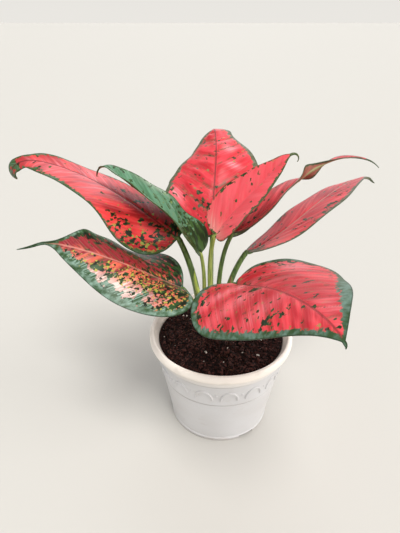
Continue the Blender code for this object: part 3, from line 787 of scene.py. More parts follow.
@dataclass
class LeafBlade:
    """Builds one blade: a fine grid laid on the leaf's surface, given relief and thickness."""

    leaf: Leaf
    thickness: float = 0.6
    stations: int = 150
    half_cells: int = 36
    midrib_steps: int = 240
    tip_droop_start: float = 0.85
    tail_start: float = 0.8
    tail_taper: float = 0.85
    least_half_width: float = 0.7
    green_tip_start: float = 0.965
    green_tip_length: float = 0.03
    green_tip_amount: float = 1.2
    vein_bend: float = 0.006
    vein_width: float = 0.8
    right_side_lag: float = 0.35
    sides_apart: float = 300.0
    groove_depth: float = 0.9
    groove_width: float = 1.5
    crease_angle: float = 60.0

    def blend(self, values: Triple, share: np.ndarray) -> np.ndarray:
        """Find values on a smooth curve through the base, middle and tip values.

        Args:
            values: what holds at the base, middle and tip.
            share: place along the blade.

        Returns:
            The value at each place.
        """
        base, middle, tip = values
        inside = np.clip(share, 0, 1)
        return (base * (1 - inside) * (1 - 2 * inside) + 4 * middle * inside * (1 - inside)
                + tip * inside * (2 * inside - 1))

    def directions(self, share: np.ndarray) -> tuple[np.ndarray, np.ndarray, np.ndarray]:
        """Find the blade's own directions at shares of its length.

        Args:
            share: 0 at the base, 1 where the drawn-out tip starts, more along it.

        Returns:
            Unit vectors along the midrib, level to its left, and up from the blade.
        """
        leaf = self.leaf
        beyond = np.clip(share - 1, 0, None) * leaf.length / leaf.tail
        heading = np.radians(self.blend(leaf.heading, share) + leaf.tail_turn * beyond)
        droop = np.clip((share - self.tip_droop_start) / (1 - self.tip_droop_start), 0, 1) ** 1.5
        climb = np.radians(self.blend(leaf.climb, share) - leaf.tip_droop * droop
                           - leaf.tail_drop * beyond)
        along = np.stack((np.cos(climb) * np.cos(heading), np.cos(climb) * np.sin(heading),
                          np.sin(climb)), -1)
        level = np.stack((-np.sin(heading), np.cos(heading), np.zeros_like(heading)), -1)
        return along, level, np.cross(along, level)

    def half_width(self, share: np.ndarray, across: np.ndarray) -> np.ndarray:
        """Find the width of each half: an outline with its swells, drawn out into a narrow tip.

        Args:
            share: place along the blade.
            across: place across it; only its sign counts.

        Returns:
            Half widths in millimetres.
        """
        leaf = self.leaf
        base, tip = leaf.fullness
        widest = base / (base + tip)
        inside = np.clip(share, 0, 1)
        outline = inside**base * (1 - inside)**tip / (widest**base * (1 - widest)**tip)
        side = np.sign(across)
        swelling = 1 + leaf.uneven * side
        for swell in leaf.swells:
            bell = np.exp(-((share - swell.share) / swell.spread) ** 2)
            swelling = swelling + swell.amount * bell * (side == swell.side)
        beyond = np.clip(np.clip(share - 1, 0, None) * leaf.length / leaf.tail, 0, 1)
        thread = np.where(share > self.tail_start,
                          leaf.tail_width / 2 * (1 - self.tail_taper * beyond**1.5),
                          self.least_half_width)
        return np.maximum(leaf.width * outline / 2 * swelling, thread)

    def surface(self, share: np.ndarray, across: np.ndarray) -> np.ndarray:
        """Find points of the blade's smooth surface.

        Args:
            share: place along the blade.
            across: -1 at the right margin, 0 at the midrib, 1 at the left margin.

        Returns:
            (n, 3) points in millimetres.
        """
        leaf = self.leaf
        end = 1 + leaf.tail / leaf.length
        stations = np.linspace(0.0, end, self.midrib_steps + 1)
        along = self.directions(stations)[0]
        steps = (along[:-1] + along[1:]) * leaf.length * end / self.midrib_steps / 2
        midrib = np.vstack((leaf.base, np.array(leaf.base, float) + np.cumsum(steps, 0)))
        centre = np.stack([np.interp(share, stations, midrib[:, axis]) for axis in range(3)], -1)
        _, level, up = self.directions(share)
        turn, middle, spread = leaf.flip
        roll = self.blend(leaf.roll, share) + turn * np.exp(-((share - middle) / spread) ** 2)
        roll = np.radians(roll)[:, None]
        side = level * np.cos(roll) + up * np.sin(roll)
        normal = -level * np.sin(roll) + up * np.cos(roll)
        half = self.half_width(share, across)
        fold = np.radians(self.blend(leaf.fold, share))
        bend = np.radians(leaf.curl) * half / (leaf.width / 2) + 1e-6
        reach = np.abs(across)
        out = (np.sin(fold) - np.sin(fold - bend * reach)) / bend * half * np.sign(across)
        rise = (np.cos(fold - bend * reach) - np.cos(fold)) / bend * half
        return centre + side * out[:, None] + normal * rise[:, None]

    def levels(self, share: np.ndarray, across: np.ndarray) -> list[np.ndarray]:
        """Add up what is painted at each point.

        Args:
            share: place along the blade.
            across: place across it.

        Returns:
            One array of levels for each Paint, in its order.
        """
        finish = self.leaf.finish
        left, right = finish.margin
        levels = [self.blend(finish.blotch, share), self.blend(finish.mosaic, share),
                  np.zeros_like(share), np.zeros_like(share), np.zeros_like(share),
                  np.where(across > 0, left, right)]
        for patch in finish.patches:
            bell = np.exp(-((share - patch.share) / patch.reach) ** 2
                          - ((across - patch.across) / patch.breadth) ** 2)
            levels[patch.paint.value] = levels[patch.paint.value] + patch.amount * bell
        tip = np.clip((share - self.green_tip_start) / self.green_tip_length, 0, 1)
        levels[Paint.GREEN.value] = levels[Paint.GREEN.value] + self.green_tip_amount * tip
        return levels

    def patterns(self, share: np.ndarray, across: np.ndarray) -> dict[str, np.ndarray]:
        """Work out what the relief and the finish read, for each point.

        Args:
            share: place along the blade.
            across: place across it.

        Returns:
            vein_mm (place among the side veins, signed distance from the midrib, side), flat_mm
            (place along and across the blade), edge_mm, paint_first, paint_second, vein_line, phase
            and reach.
        """
        leaf = self.leaf
        half = self.half_width(share, across)
        out = across * half
        reach = np.abs(out)
        lean = np.where(across > 0, *leaf.vein_lean)
        course = share * leaf.length - lean * reach - self.vein_bend * reach**2
        spacing = leaf.length / leaf.vein_count
        offset = np.where(across > 0, 0.0, self.right_side_lag) * spacing
        finish_turn = leaf.finish.seed + 2.0 * (across > 0)
        phase = (course - offset) / spacing
        phase = phase + 0.20 * np.sin(1.9 * phase + finish_turn) + 0.08 * np.sin(4.3 * phase)
        distance = np.abs(phase - np.round(phase)) * spacing
        taper = np.clip(1 - reach / (half + 1e-6), 0, 1) ** 0.5
        line = np.exp(-(distance / self.vein_width) ** 2) * taper
        stations = np.linspace(0, 1, 101)
        slope = np.gradient(self.half_width(stations, np.ones(101)), leaf.length / 100)
        edge = (half - reach) / np.sqrt(1 + np.interp(share, stations, slope) ** 2)
        levels = self.levels(share, across)
        vein = np.stack((course + self.sides_apart * (across > 0), out, np.sign(across) * 50), -1)
        flat = np.stack((share * leaf.length - 0.3 * reach, out, np.zeros_like(out)), -1)
        return {"vein_mm": vein, "flat_mm": flat, "edge_mm": edge, "vein_line": line, "phase": phase,
                "reach": reach, "paint_first": np.stack(levels[:3], -1),
                "paint_second": np.stack(levels[3:], -1)}

    def relief(self, share: np.ndarray, across: np.ndarray,
               found: dict[str, np.ndarray]) -> np.ndarray:
        """Find the height of the relief: midrib groove, veins, quilting and waves.

        Args:
            share: place along the blade.
            across: place across it.
            found: what patterns worked out for the same points.

        Returns:
            Heights in millimetres.
        """
        leaf = self.leaf
        fade = np.clip(1 - np.abs(across), 0, 1) ** 0.4 * np.clip((1 - share) * 6, 0, 1)
        groove = -self.groove_depth * np.exp(-(found["reach"] / self.groove_width) ** 2)
        groove *= np.clip(1.05 - share, 0, 1)
        cell = np.floor(found["phase"]) + 7 * (across > 0)
        pillow = (0.5 - 0.5 * np.cos(2 * math.pi * found["phase"])) * np.sin(
            math.pi * np.clip(np.abs(across), 0, 1)) ** 0.7
        pillow *= 0.62 + 0.38 * np.cos(2 * math.pi * (1.7 * np.abs(across) + 0.37 * cell))
        size, count, start = leaf.wave
        side = np.where(across > 0, 1.1, 0.0)
        ripple = size * np.abs(across) ** 2.5 * np.sin(2 * math.pi * count * share + start + side)
        ripple *= np.clip(share * 6, 0, 1) * np.clip((1.02 - share) * 6, 0, 1)
        return groove + fade * (leaf.quilt * pillow - leaf.vein * found["vein_line"]) + ripple

    def build(self) -> None:
        """Model the blade and dress it."""
        leaf = self.leaf
        bpy.ops.object.select_all(action="DESELECT")
        bpy.ops.mesh.primitive_grid_add(x_subdivisions=2 * self.half_cells,
                                        y_subdivisions=self.stations, size=2.0)
        blade = bpy.context.object
        blade.name = f"leaf_{leaf.name}"
        data = blade.data
        flat = np.empty(len(data.vertices) * 3)
        data.vertices.foreach_get("co", flat)
        flat = flat.reshape(-1, 3)
        share = (1 - np.cos(np.pi * (flat[:, 1] + 1) / 2)) / 2 * (1 + leaf.tail / leaf.length)
        across = -np.sin(np.pi / 2 * flat[:, 0])
        points = self.surface(share, across) * MM
        data.vertices.foreach_set("co", points.ravel())
        data.update()
        normals = np.empty(len(data.vertices) * 3)
        data.vertex_normals.foreach_get("vector", normals)
        found = self.patterns(share, across)
        points += normals.reshape(-1, 3) * (self.relief(share, across, found) * MM)[:, None]
        data.vertices.foreach_set("co", points.ravel())
        for name in ("vein_mm", "flat_mm", "paint_first", "paint_second"):
            layer_data = data.attributes.new(name, "FLOAT_VECTOR", "POINT")
            layer_data.data.foreach_set("vector", found[name].astype(np.float32).ravel())
        for name in ("edge_mm", "vein_line"):
            layer_data = data.attributes.new(name, "FLOAT", "POINT")
            layer_data.data.foreach_set("value", found[name].astype(np.float32))
        data.update()
        data.materials.append(leaf.finish.upper())
        data.materials.append(leaf.finish.lower())
        skin = blade.modifiers.new("thickness", "SOLIDIFY")
        skin.thickness = self.thickness * MM
        skin.offset = -1.0
        skin.material_offset = 1
        skin.material_offset_rim = 1
        apply_modifiers(blade)
        smooth_by_angle(blade, self.crease_angle)
        place(blade, leaf.finish.slot, f"blade_{leaf.name}")


@dataclass(frozen=True)
class StalkFinish:
    """A smooth waxy stalk with fine lengthwise streaks, paler at its foot."""

    name: str
    colour: str
    dark: str
    foot: str

    def build(self) -> bpy.types.Material:
        """Build the stalk's material.

        Returns:
            The material.
        """
        material, tree, shader = new_material(self.name)
        where = object_mm(tree)
        height = add_node(tree, "SeparateXYZ", None, {0: where}).outputs["Z"]
        streaks = add_node(tree, "MapRange", SMOOTH,
                           {0: grain(tree, where, (1.2, 1.2, 16), 3), 1: 0.42, 2: 0.62}).outputs[0]
        colour = add_node(tree, "Mix", COLOURS, {0: streaks, 6: self.colour, 7: self.dark}).outputs[2]
        colour = add_node(tree, "Mix", COLOURS,
                          {0: add_node(tree, "MapRange", SMOOTH,
                                       {0: height, 1: 165, 2: 118}).outputs[0],
                           6: colour, 7: self.foot}).outputs[2]
        tree.links.new(colour, shader.inputs["Base Color"])
        shader.inputs["Roughness"].default_value = 0.36
        tree.links.new(add_node(tree, "Bump", {"Distance": 0.08 * MM, "Strength": 1.0},
                                {"Height": grain(tree, where, (0.8, 0.8, 8), 2)}).outputs[0],
                       shader.inputs["Normal"])
        return material


@dataclass(frozen=True)
class Spike:
    """A small pointed piece that stands among the stalks, in millimetres."""

    node: str
    slot: str
    foot: Triple
    tip: Triple
    radius: float
    finish: StalkFinish


SPIKES: tuple[Spike, ...] = (
    Spike("young_shoot", "young_growth", (-11.5, -4.8, 100.0), (-25.5, -9.0, 173.0), 2.7,
          StalkFinish("rolled_young_leaf", "#9CAA48", "#7E9036", "#C8C474")),
    Spike("dried_sheath", "dried_sheath", (-5.6, -3.4, 100.0), (7.5, -6.0, 166.0), 1.5,
          StalkFinish("papery_dry_sheath", "#8A5A30", "#5A3418", "#B07A40")),
)


@dataclass
class Stalks:
    """The petioles with their clasping feet, the young shoot and the dried sheath."""

    foot_radius: float = 3.2
    foot_share: float = 0.3
    radius: float = 2.6
    tip_radius: float = 1.9
    steps: int = 34
    rise: float = 0.6
    bend: float = 0.4
    stop_short: float = 0.7
    under_blade: float = 16.0
    old: StalkFinish = StalkFinish("waxy_stalk_green", "#5C7636", "#38501F", "#8A9044")
    young: StalkFinish = StalkFinish("waxy_stalk_pale", "#98A452", "#6E8036", "#BDB46C")

    def petiole(self, leaf: Leaf, material: bpy.types.Material) -> None:
        """Model one stalk, from the cane to a taper under the blade's midrib.

        Args:
            leaf: the leaf that it carries.
            material: its finish.
        """
        ring = 0.0 if leaf.ring_height > CANE_TOP else PETIOLE_RING
        turn = math.radians(leaf.ring_angle)
        start = CANE_CENTRE + (ring * math.cos(turn), ring * math.sin(turn), leaf.ring_height)
        blade = LeafBlade(leaf)
        along = blade.directions(np.array([0.0]))[0][0]
        end = np.array(leaf.base, float) - along * self.stop_short
        reach = float(np.linalg.norm(end - start))
        straight = (end - start) / reach
        lift = np.array((0.0, 0.0, self.rise)) + straight * (1 - self.rise)
        arrive = along * self.bend + straight * (1 - self.bend)
        path = bezier(start, start + lift * reach / 3, end - arrive * reach / 3, end, self.steps)
        share = np.linspace(0.0, 1.0, self.steps + 1)
        radii = self.radius + (self.tip_radius - self.radius) * share
        radii = radii + (self.foot_radius - self.radius) * np.clip(
            1 - share / self.foot_share, 0, 1)
        radii = radii * leaf.stalk
        radii[0] *= 0.5
        radii[-3:] *= (1.0, 1.06, 1.0)
        on_rib = np.linspace(0.0, self.under_blade, 7)[1:]
        rib = blade.surface(on_rib / leaf.length, np.zeros(len(on_rib)))
        up = blade.directions(on_rib / leaf.length)[2]
        sunk = np.linspace(2.3, 1.7, len(on_rib))[:, None]
        path = np.vstack((path, rib - up * sunk))
        radii = np.append(radii, np.linspace(1.4, 0.4, len(on_rib)))
        stalk = bent_rod(f"stalk_{leaf.name}", path, radii, 4)
        stalk.data.materials.append(material)
        place(stalk, "petiole_green", f"petiole_{leaf.name}")

    def spike(self, spike: Spike) -> None:
        """Model one spike and dress it.

        Args:
            spike: its design.
        """
        foot = np.array(spike.foot)
        tip = np.array(spike.tip)
        rise = np.array((0.0, 0.0, 0.5 * (tip[2] - foot[2])))
        path = bezier(foot, foot + rise, tip - 0.8 * rise, tip, 20)
        radii = spike.radius * np.sqrt(1.0 - np.linspace(0.0, 1.0, len(path)) ** 2 * 0.985)
        piece = bent_rod(f"{spike.node}_piece", path, radii, 3)
        piece.data.materials.append(spike.finish.build())
        place(piece, spike.slot, spike.node)

    def build(self) -> None:
        """Model every stalk and spike."""
        old = self.old.build()
        young = self.young.build()
        for leaf in LEAVES:
            self.petiole(leaf, young if leaf.young_stalk else old)
        for spike in SPIKES:
            self.spike(spike)


# ---------------------------------------------------------------- cane, soil and pot


@dataclass
class Cane:
    """The short cane, ringed by old leaf scars, with thick roots below the soil."""

    top: float = CANE_TOP
    bottom: float = 45.0
    radius: float = 6.0
    scar_pitch: float = 7.0
    scar_depth: float = 0.35
    roots: int = 6
    first_root: float = 20.0
    root_reach: float = 36.0
    root_turn: float = 15.0

    def finish(self) -> bpy.types.Material:
        """Build green living bark that turns corky and brown towards the soil.

        Returns:
            The material.
        """
        material, tree, shader = new_material("green_corky_cane")
        where = object_mm(tree)
        height = add_node(tree, "SeparateXYZ", None, {0: where}).outputs["Z"]
        patches = add_node(tree, "MapRange", SMOOTH,
                           {0: grain(tree, where, (4, 4, 3), 4), 1: 0.4, 2: 0.65}).outputs[0]
        colour = add_node(tree, "Mix", COLOURS, {0: patches, 6: "#6E7A3A", 7: "#8C8A50"}).outputs[2]
        colour = add_node(tree, "Mix", COLOURS,
                          {0: add_node(tree, "MapRange", SMOOTH, {0: height, 1: 108, 2: 94}).outputs[0],
                           6: colour, 7: "#5A4228"}).outputs[2]
        tree.links.new(colour, shader.inputs["Base Color"])
        shader.inputs["Roughness"].default_value = 0.6
        tree.links.new(add_node(tree, "Bump", {"Distance": 0.3 * MM, "Strength": 1.0},
                                {"Height": grain(tree, where, (1.5, 1.5, 1.0), 4)}).outputs[0],
                       shader.inputs["Normal"])
        return material

    def build(self) -> None:
        """Model the cane and its roots as one grown piece."""
        heights = np.arange(self.bottom, self.top, 0.7)
        wave = np.cos(2 * math.pi * heights / self.scar_pitch)
        radii = self.radius - 0.25 + self.scar_depth * np.clip(wave, 0.3, 1)
        radii = radii * np.clip(0.55 + (heights - self.bottom) / 40, 0, 1)
        radii[-3:] *= (0.9, 0.75, 0.5)
        path = np.stack((np.full_like(heights, CANE_CENTRE[0]), np.zeros_like(heights), heights), -1)
        pieces = [bent_rod("cane", path, radii, 6)]
        for number in range(self.roots):
            angle = 360.0 * number / self.roots + self.first_root
            start = CANE_CENTRE + ring_point(1.0, angle, self.bottom + 8 + 5 * (number % 3))
            end = ring_point(self.root_reach, angle + self.root_turn, 14.0 + 6.0 * (number % 2))
            route = bezier(start, CANE_CENTRE + ring_point(22.0, angle, start[2] - 2),
                           ring_point(self.root_reach, angle, 40.0), end, 16)
            pieces.append(bent_rod(f"root_{number}", route, np.linspace(2.0, 1.0, len(route)), 2))
        cane = join(pieces, "cane_and_roots")
        cane.data.materials.append(self.finish())
        place(cane, "cane_bark", "rooted_stem")


@dataclass
class Soil:
    """Damp peat and bark mix: a lumpy bed, loose crumbs, fibres and a few white grains.

    A lump is a size and a height; a skirt ring is how far it lies inside the edge and its height.
    """

    edge_height: float = 94.0
    heap: float = 2.5
    edge_radius: float = 60.8
    strewn_radius: float = 58.5
    fibre_radius: float = 56.0
    crumbs: int = 1300
    grains: int = 46
    fibres: int = 70
    lumps: tuple[tuple[float, float], ...] = ((9.0, 0.55), (4.0, 0.45), (2.0, 0.35))
    waves_per_lump: int = 5
    roughness: float = 0.16
    skirt: tuple[tuple[float, float], ...] = ((13.0, 4.8), (15.2, 2.9))

    def height(self, x: np.ndarray, y: np.ndarray) -> np.ndarray:
        """Find the height of the bed.

        Args:
            x: places towards the right, in millimetres.
            y: places towards the back.

        Returns:
            Heights in millimetres.
        """
        radius = np.hypot(x, y)
        angle = np.arctan2(y, x)
        waves = np.sin(3 * angle + 0.11 * radius) + np.sin(5 * angle - 0.17 * radius)
        fade = np.clip(np.minimum(1, radius / 12) * (1 - radius / 61.1) * 3, 0, 1)
        heap = self.heap * np.cos(0.5 * math.pi * np.clip(radius / 65.0, 0, 1))
        return self.edge_height + heap + 0.7 * waves * fade

    def finish(self, name: str, dark: str, light: str) -> bpy.types.Material:
        """Build matt broken earth; damp peat is near black with brown fibre showing.

        Args:
            name: the finish's name.
            dark: its darker colour.
            light: its lighter colour.

        Returns:
            The material.
        """
        material, tree, shader = new_material(name)
        where = object_mm(tree)
        patches = add_node(tree, "MapRange", SMOOTH,
                           {0: grain(tree, where, (1.8, 1.8, 1.8), 5), 1: 0.44, 2: 0.62}).outputs[0]
        colour = add_node(tree, "Mix", COLOURS, {0: patches, 6: dark, 7: light}).outputs[2]
        tree.links.new(colour, shader.inputs["Base Color"])
        shader.inputs["Roughness"].default_value = 0.92
        shader.inputs["Specular IOR Level"].default_value = 0.25
        tree.links.new(add_node(tree, "Bump", {"Distance": 0.5 * MM, "Strength": 1.0},
                                {"Height": grain(tree, where, (0.9, 0.9, 0.9), 5)}).outputs[0],
                       shader.inputs["Normal"])
        return material

    def bed(self) -> bpy.types.Object:
        """Model the bed: a finely cut disc with lumps, extruded down to the pot's floor.

        Returns:
            The bed.
        """
        bpy.ops.object.select_all(action="DESELECT")
        bpy.ops.mesh.primitive_circle_add(vertices=96, radius=self.edge_radius * MM,
                                          fill_type="TRIFAN")
        bed = bpy.context.object
        bed.name = "soil_bed"
        bpy.ops.object.mode_set(mode="EDIT")
        bpy.ops.mesh.select_all(action="SELECT")
        bpy.ops.mesh.subdivide(number_cuts=5)
        bpy.ops.mesh.subdivide(number_cuts=2)
        bpy.ops.object.mode_set(mode="OBJECT")
        data = bed.data
        flat = np.empty(len(data.vertices) * 3)
        data.vertices.foreach_get("co", flat)
        flat = flat.reshape(-1, 3)
        x, y = flat[:, 0] / MM, flat[:, 1] / MM
        rng = np.random.default_rng(4)
        rim = np.hypot(x, y) > self.edge_radius - 0.5
        lumps = np.zeros(len(x))
        for size, depth in self.lumps:
            for _ in range(self.waves_per_lump):
                turn, start = rng.uniform(0, 2 * math.pi, 2)
                lumps += depth * 0.5 * np.sin(2 * math.pi / size * (
                    x * math.cos(turn) + y * math.sin(turn)) + start)
        lumps += rng.normal(0, self.roughness, len(x))
        flat[:, 2] = (self.height(x, y) + lumps * ~rim) * MM
        data.vertices.foreach_set("co", flat.ravel())
        data.update()
        select_only(bed)
        bpy.ops.object.mode_set(mode="EDIT")
        bpy.ops.mesh.select_all(action="DESELECT")
        bpy.ops.mesh.select_mode(type="EDGE")
        bpy.ops.mesh.select_non_manifold(extend=False)
        last_radius = self.edge_radius
        for inset, height in self.skirt:
            bpy.ops.mesh.extrude_region_move()
            radius = self.edge_radius - inset
            share = radius / last_radius
            bpy.ops.transform.resize(value=(share, share, 0.0),
                                     center_override=(0.0, 0.0, height * MM))
            last_radius = radius
        bpy.ops.mesh.edge_face_add()
        bpy.ops.object.mode_set(mode="OBJECT")
        bpy.ops.object.shade_smooth()
        return bed

    def scatter(self, name: str, count: int, sizes: tuple[float, float], seed: int,
                flatness: float) -> bpy.types.Object:
        """Strew small rough grains over the bed.

        Args:
            name: the piece's name.
            count: how many grains.
            sizes: smallest and largest radius in millimetres.
            seed: the draw's seed.
            flatness: height over width of a grain.

        Returns:
            One object holding all of the grains.
        """
        bpy.ops.object.select_all(action="DESELECT")
        bpy.ops.mesh.primitive_ico_sphere_add(subdivisions=2, radius=1.0)
        grain_object = bpy.context.object
        shape = np.array([vertex.co[:] for vertex in grain_object.data.vertices])
        faces = np.array([face.vertices[:] for face in grain_object.data.polygons])
        rng = np.random.default_rng(seed)
        points = []
        for _ in range(count):
            radius = self.strewn_radius * math.sqrt(rng.uniform())
            angle = rng.uniform(0, 2 * math.pi)
            x, y = radius * math.cos(angle), radius * math.sin(angle)
            size = sizes[0] + (sizes[1] - sizes[0]) * rng.uniform() ** 2.2
            rough = shape * (1 + rng.normal(0, self.roughness, (len(shape), 1)))
            stretch = np.array((rng.uniform(0.7, 1.5), rng.uniform(0.6, 1.1), flatness))
            turn = rng.uniform(0, 2 * math.pi)
            spin = np.array(((math.cos(turn), -math.sin(turn), 0), (math.sin(turn), math.cos(turn), 0),
                             (0, 0, 1)))
            ground = float(self.height(np.array([x]), np.array([y]))[0])
            points.append((rough * stretch) @ spin.T * size + (x, y, ground + 0.25 * size))
        corners = np.vstack([faces + number * len(shape) for number in range(count)])
        data = bpy.data.meshes.new(name)
        data.from_pydata((np.vstack(points) * MM).tolist(), [], corners.tolist())
        grain_object.data = data
        grain_object.name = name
        return grain_object

    def strands(self) -> bpy.types.Object:
        """Model short brown fibres that lie on the bed.

        Returns:
            One object holding all of the fibres.
        """
        rng = np.random.default_rng(9)
        pieces = []
        for number in range(self.fibres):
            radius = self.fibre_radius * math.sqrt(rng.uniform())
            angle = rng.uniform(0, 2 * math.pi)
            heading = rng.uniform(0, 2 * math.pi)
            steps = np.linspace(-1, 1, 7)
            reach = rng.uniform(2.0, 6.5)
            x = radius * math.cos(angle) + steps * reach * math.cos(heading)
            y = radius * math.sin(angle) + steps * reach * math.sin(heading)
            y = y + steps**2 * rng.uniform(-2, 2)
            inside = np.minimum(1, self.strewn_radius / np.maximum(np.hypot(x, y), 1e-6))
            x, y = x * inside, y * inside
            z = self.height(x, y) + 0.5 + 0.5 * rng.uniform(0, 1, len(x))
            radii = np.full(len(x), rng.uniform(0.14, 0.3))
            pieces.append(bent_rod(f"fibre_{number}", np.stack((x, y, z), -1), radii, 0))
        return join(pieces, "soil_fibres")

    def build(self) -> None:
        """Model the soil and all that lies on it."""
        earth = self.finish("damp_peat_mix", "#0E0605", "#3A1A15")
        bed = self.bed()
        bed.data.materials.append(earth)
        place(bed, "potting_soil", "soil")
        crumbs = self.scatter("soil_crumbs", self.crumbs, (0.6, 2.6), 5, 0.7)
        crumbs.data.materials.append(self.finish("peat_crumbs", "#140807", "#54302A"))
        place(crumbs, "potting_soil")
        white = self.scatter("soil_white_grains", self.grains, (0.45, 1.5), 6, 0.8)
        white.data.materials.append(self.finish("mineral_grains", "#B9B0A6", "#EDE6DC"))
        place(white, "potting_soil")
        strands = self.strands()
        strands.data.materials.append(self.finish("bark_fibres", "#3A241A", "#6A4A38"))
        place(strands, "potting_soil")


@dataclass
class Pot:
    """The moulded polypropylene pot: lathed shell, raised arches, studs and drain notches.

    Sizes are millimetres and degrees; a groove is a height and how dark the shade painted along it is.
    """

    height: float = 102.0
    rim_radius: float = 70.0
    rim_inner: float = 65.0
    rim_band: float = 8.0
    collar_radius: float = 64.6
    collar_drop: float = 9.0
    shoulder_radius: float = 63.2
    band_bottom: float = 59.0
    foot_radius: float = 50.0
    foot_step: float = 4.0
    wall: float = 2.0
    floor: float = 2.5
    segments: int = 192
    crease_angle: float = 40.0
    notches: int = 3
    first_notch: float = 31.0
    notch_middle: float = 49.5
    notch_size: Triple = (17.0, 13.0, 7.0)
    arch_count: int = 16
    first_arch: float = -16.5
    arch_half: float = 7.5
    arch_foot: float = 63.5
    arch_rise: float = 12.0
    arch_radius: float = 1.2
    stud_height: float = 72.0
    grooves: tuple[tuple[float, float], ...] = ((57.7, 0.5), (84.2, 0.8), (93.2, 0.9))

    def wall_radius(self, height: float) -> float:
        """Outer radius of the cone at a height."""
        share = height / (self.height - self.rim_band - self.collar_drop)
        return self.foot_radius + (self.shoulder_radius - self.foot_radius) * share

    def profile(self) -> list[tuple[float, float]]:
        """List the half section, from under the base, up outside and back down inside.

        Returns:
            Radius and height of each ring.
        """
        rim = self.height - self.rim_band
        collar = rim - self.collar_drop
        foot = self.foot_step
        band = self.band_bottom
        inner = self.foot_radius - self.wall - 0.5
        middle = 0.5 * (self.rim_radius + self.rim_inner)
        return [
            (self.foot_radius - 1.0, 0.0), (self.foot_radius - 0.3, 0.25),
            (self.foot_radius + 0.1, 0.9), (self.wall_radius(foot) - 0.1, foot - 0.5),
            (self.wall_radius(foot) - 0.2, foot), (self.wall_radius(foot) - 0.65, foot + 0.5),
            (self.wall_radius(foot) - 0.55, foot + 1.2),
            (self.wall_radius(band) - 0.5, band - 2.4), (self.wall_radius(band) - 1.15, band - 1.6),
            (self.wall_radius(band) - 1.1, band - 1.0), (self.wall_radius(band) + 0.25, band - 0.4),
            (self.wall_radius(band) + 0.4, band + 0.5), (self.wall_radius(band + 1.8) - 0.1, band + 1.8),
            (self.shoulder_radius - 0.5, collar - 2.0), (self.shoulder_radius - 1.3, collar - 1.0),
            (self.shoulder_radius - 1.2, collar - 0.1), (self.collar_radius - 0.2, collar + 0.2),
            (self.collar_radius + 0.25, collar + 0.9), (self.collar_radius + 0.5, rim - 3.0),
            (self.collar_radius - 0.5, rim - 1.6), (self.collar_radius - 0.9, rim - 0.4),
            (self.collar_radius + 1.6, rim + 0.0),
            (self.rim_radius - 1.1, rim + 0.25), (self.rim_radius - 0.35, rim + 0.7),
            (self.rim_radius - 0.02, rim + 1.6), (self.rim_radius, rim + 3.0),
            (self.rim_radius - 0.15, self.height - 2.8), (self.rim_radius - 0.55, self.height - 1.5),
            (self.rim_radius - 1.25, self.height - 0.55), (middle + 0.4, self.height - 0.02),
            (middle - 0.7, self.height - 0.1), (self.rim_inner + 0.9, self.height - 0.7),
            (self.rim_inner + 0.2, self.height - 1.8), (self.rim_inner - 0.1, self.height - 3.2),
            (self.shoulder_radius - self.wall + 0.1, 94.0), (inner, self.floor + 2.5),
            (inner - 0.8, self.floor + 0.8), (inner - 2.5, self.floor),
        ]

    def shell(self) -> bpy.types.Object:
        """Turn the profile: a disc extruded ring by ring to its inside floor.

        Returns:
            The closed shell.
        """
        profile = self.profile()
        bpy.ops.object.select_all(action="DESELECT")
        bpy.ops.mesh.primitive_circle_add(vertices=self.segments, radius=profile[0][0] * MM,
                                          fill_type="NOTHING")
        shell = bpy.context.object
        shell.name = "pot_shell"
        bpy.ops.object.mode_set(mode="EDIT")
        bpy.ops.mesh.select_all(action="SELECT")
        bpy.ops.mesh.select_mode(type="EDGE")
        bpy.ops.mesh.extrude_edges_move()
        bpy.ops.mesh.merge(type="CENTER")
        bpy.ops.mesh.select_all(action="DESELECT")
        bpy.ops.mesh.select_non_manifold(extend=False)
        last_radius, last_height = profile[0]
        for radius, height in profile[1:]:
            bpy.ops.mesh.extrude_edges_move(
                TRANSFORM_OT_translate={"value": (0, 0, (height - last_height) * MM)})
            share = radius / last_radius
            bpy.ops.transform.resize(value=(share, share, 1.0),
                                     center_override=(0.0, 0.0, height * MM))
            last_radius, last_height = radius, height
        bpy.ops.mesh.extrude_edges_move()
        bpy.ops.mesh.merge(type="CENTER")
        bpy.ops.mesh.select_all(action="SELECT")
        bpy.ops.mesh.normals_make_consistent(inside=False)
        bpy.ops.object.mode_set(mode="OBJECT")
        return shell

    def notch(self, shell: bpy.types.Object) -> None:
        """Cut the drain notches through the corner of the base.

        Args:
            shell: the pot's shell.
        """
        middle = self.notch_middle
        for number in range(self.notches):
            angle = math.radians(self.first_notch + 360.0 / self.notches * number)
            bpy.ops.object.select_all(action="DESELECT")
            bpy.ops.mesh.primitive_cube_add(size=1.0)
            tool = bpy.context.object
            tool.location = (middle * MM * math.sin(angle), -middle * MM * math.cos(angle), 0)
            tool.rotation_euler = (0, 0, angle)
            tool.scale = [side * MM for side in self.notch_size]
            cut = shell.modifiers.new("notch", "BOOLEAN")
            cut.object = tool
            cut.operation = "DIFFERENCE"
            cut.solver = "EXACT"
            select_only(shell)
            bpy.ops.object.modifier_apply(modifier=cut.name)
            bpy.data.objects.remove(tool)

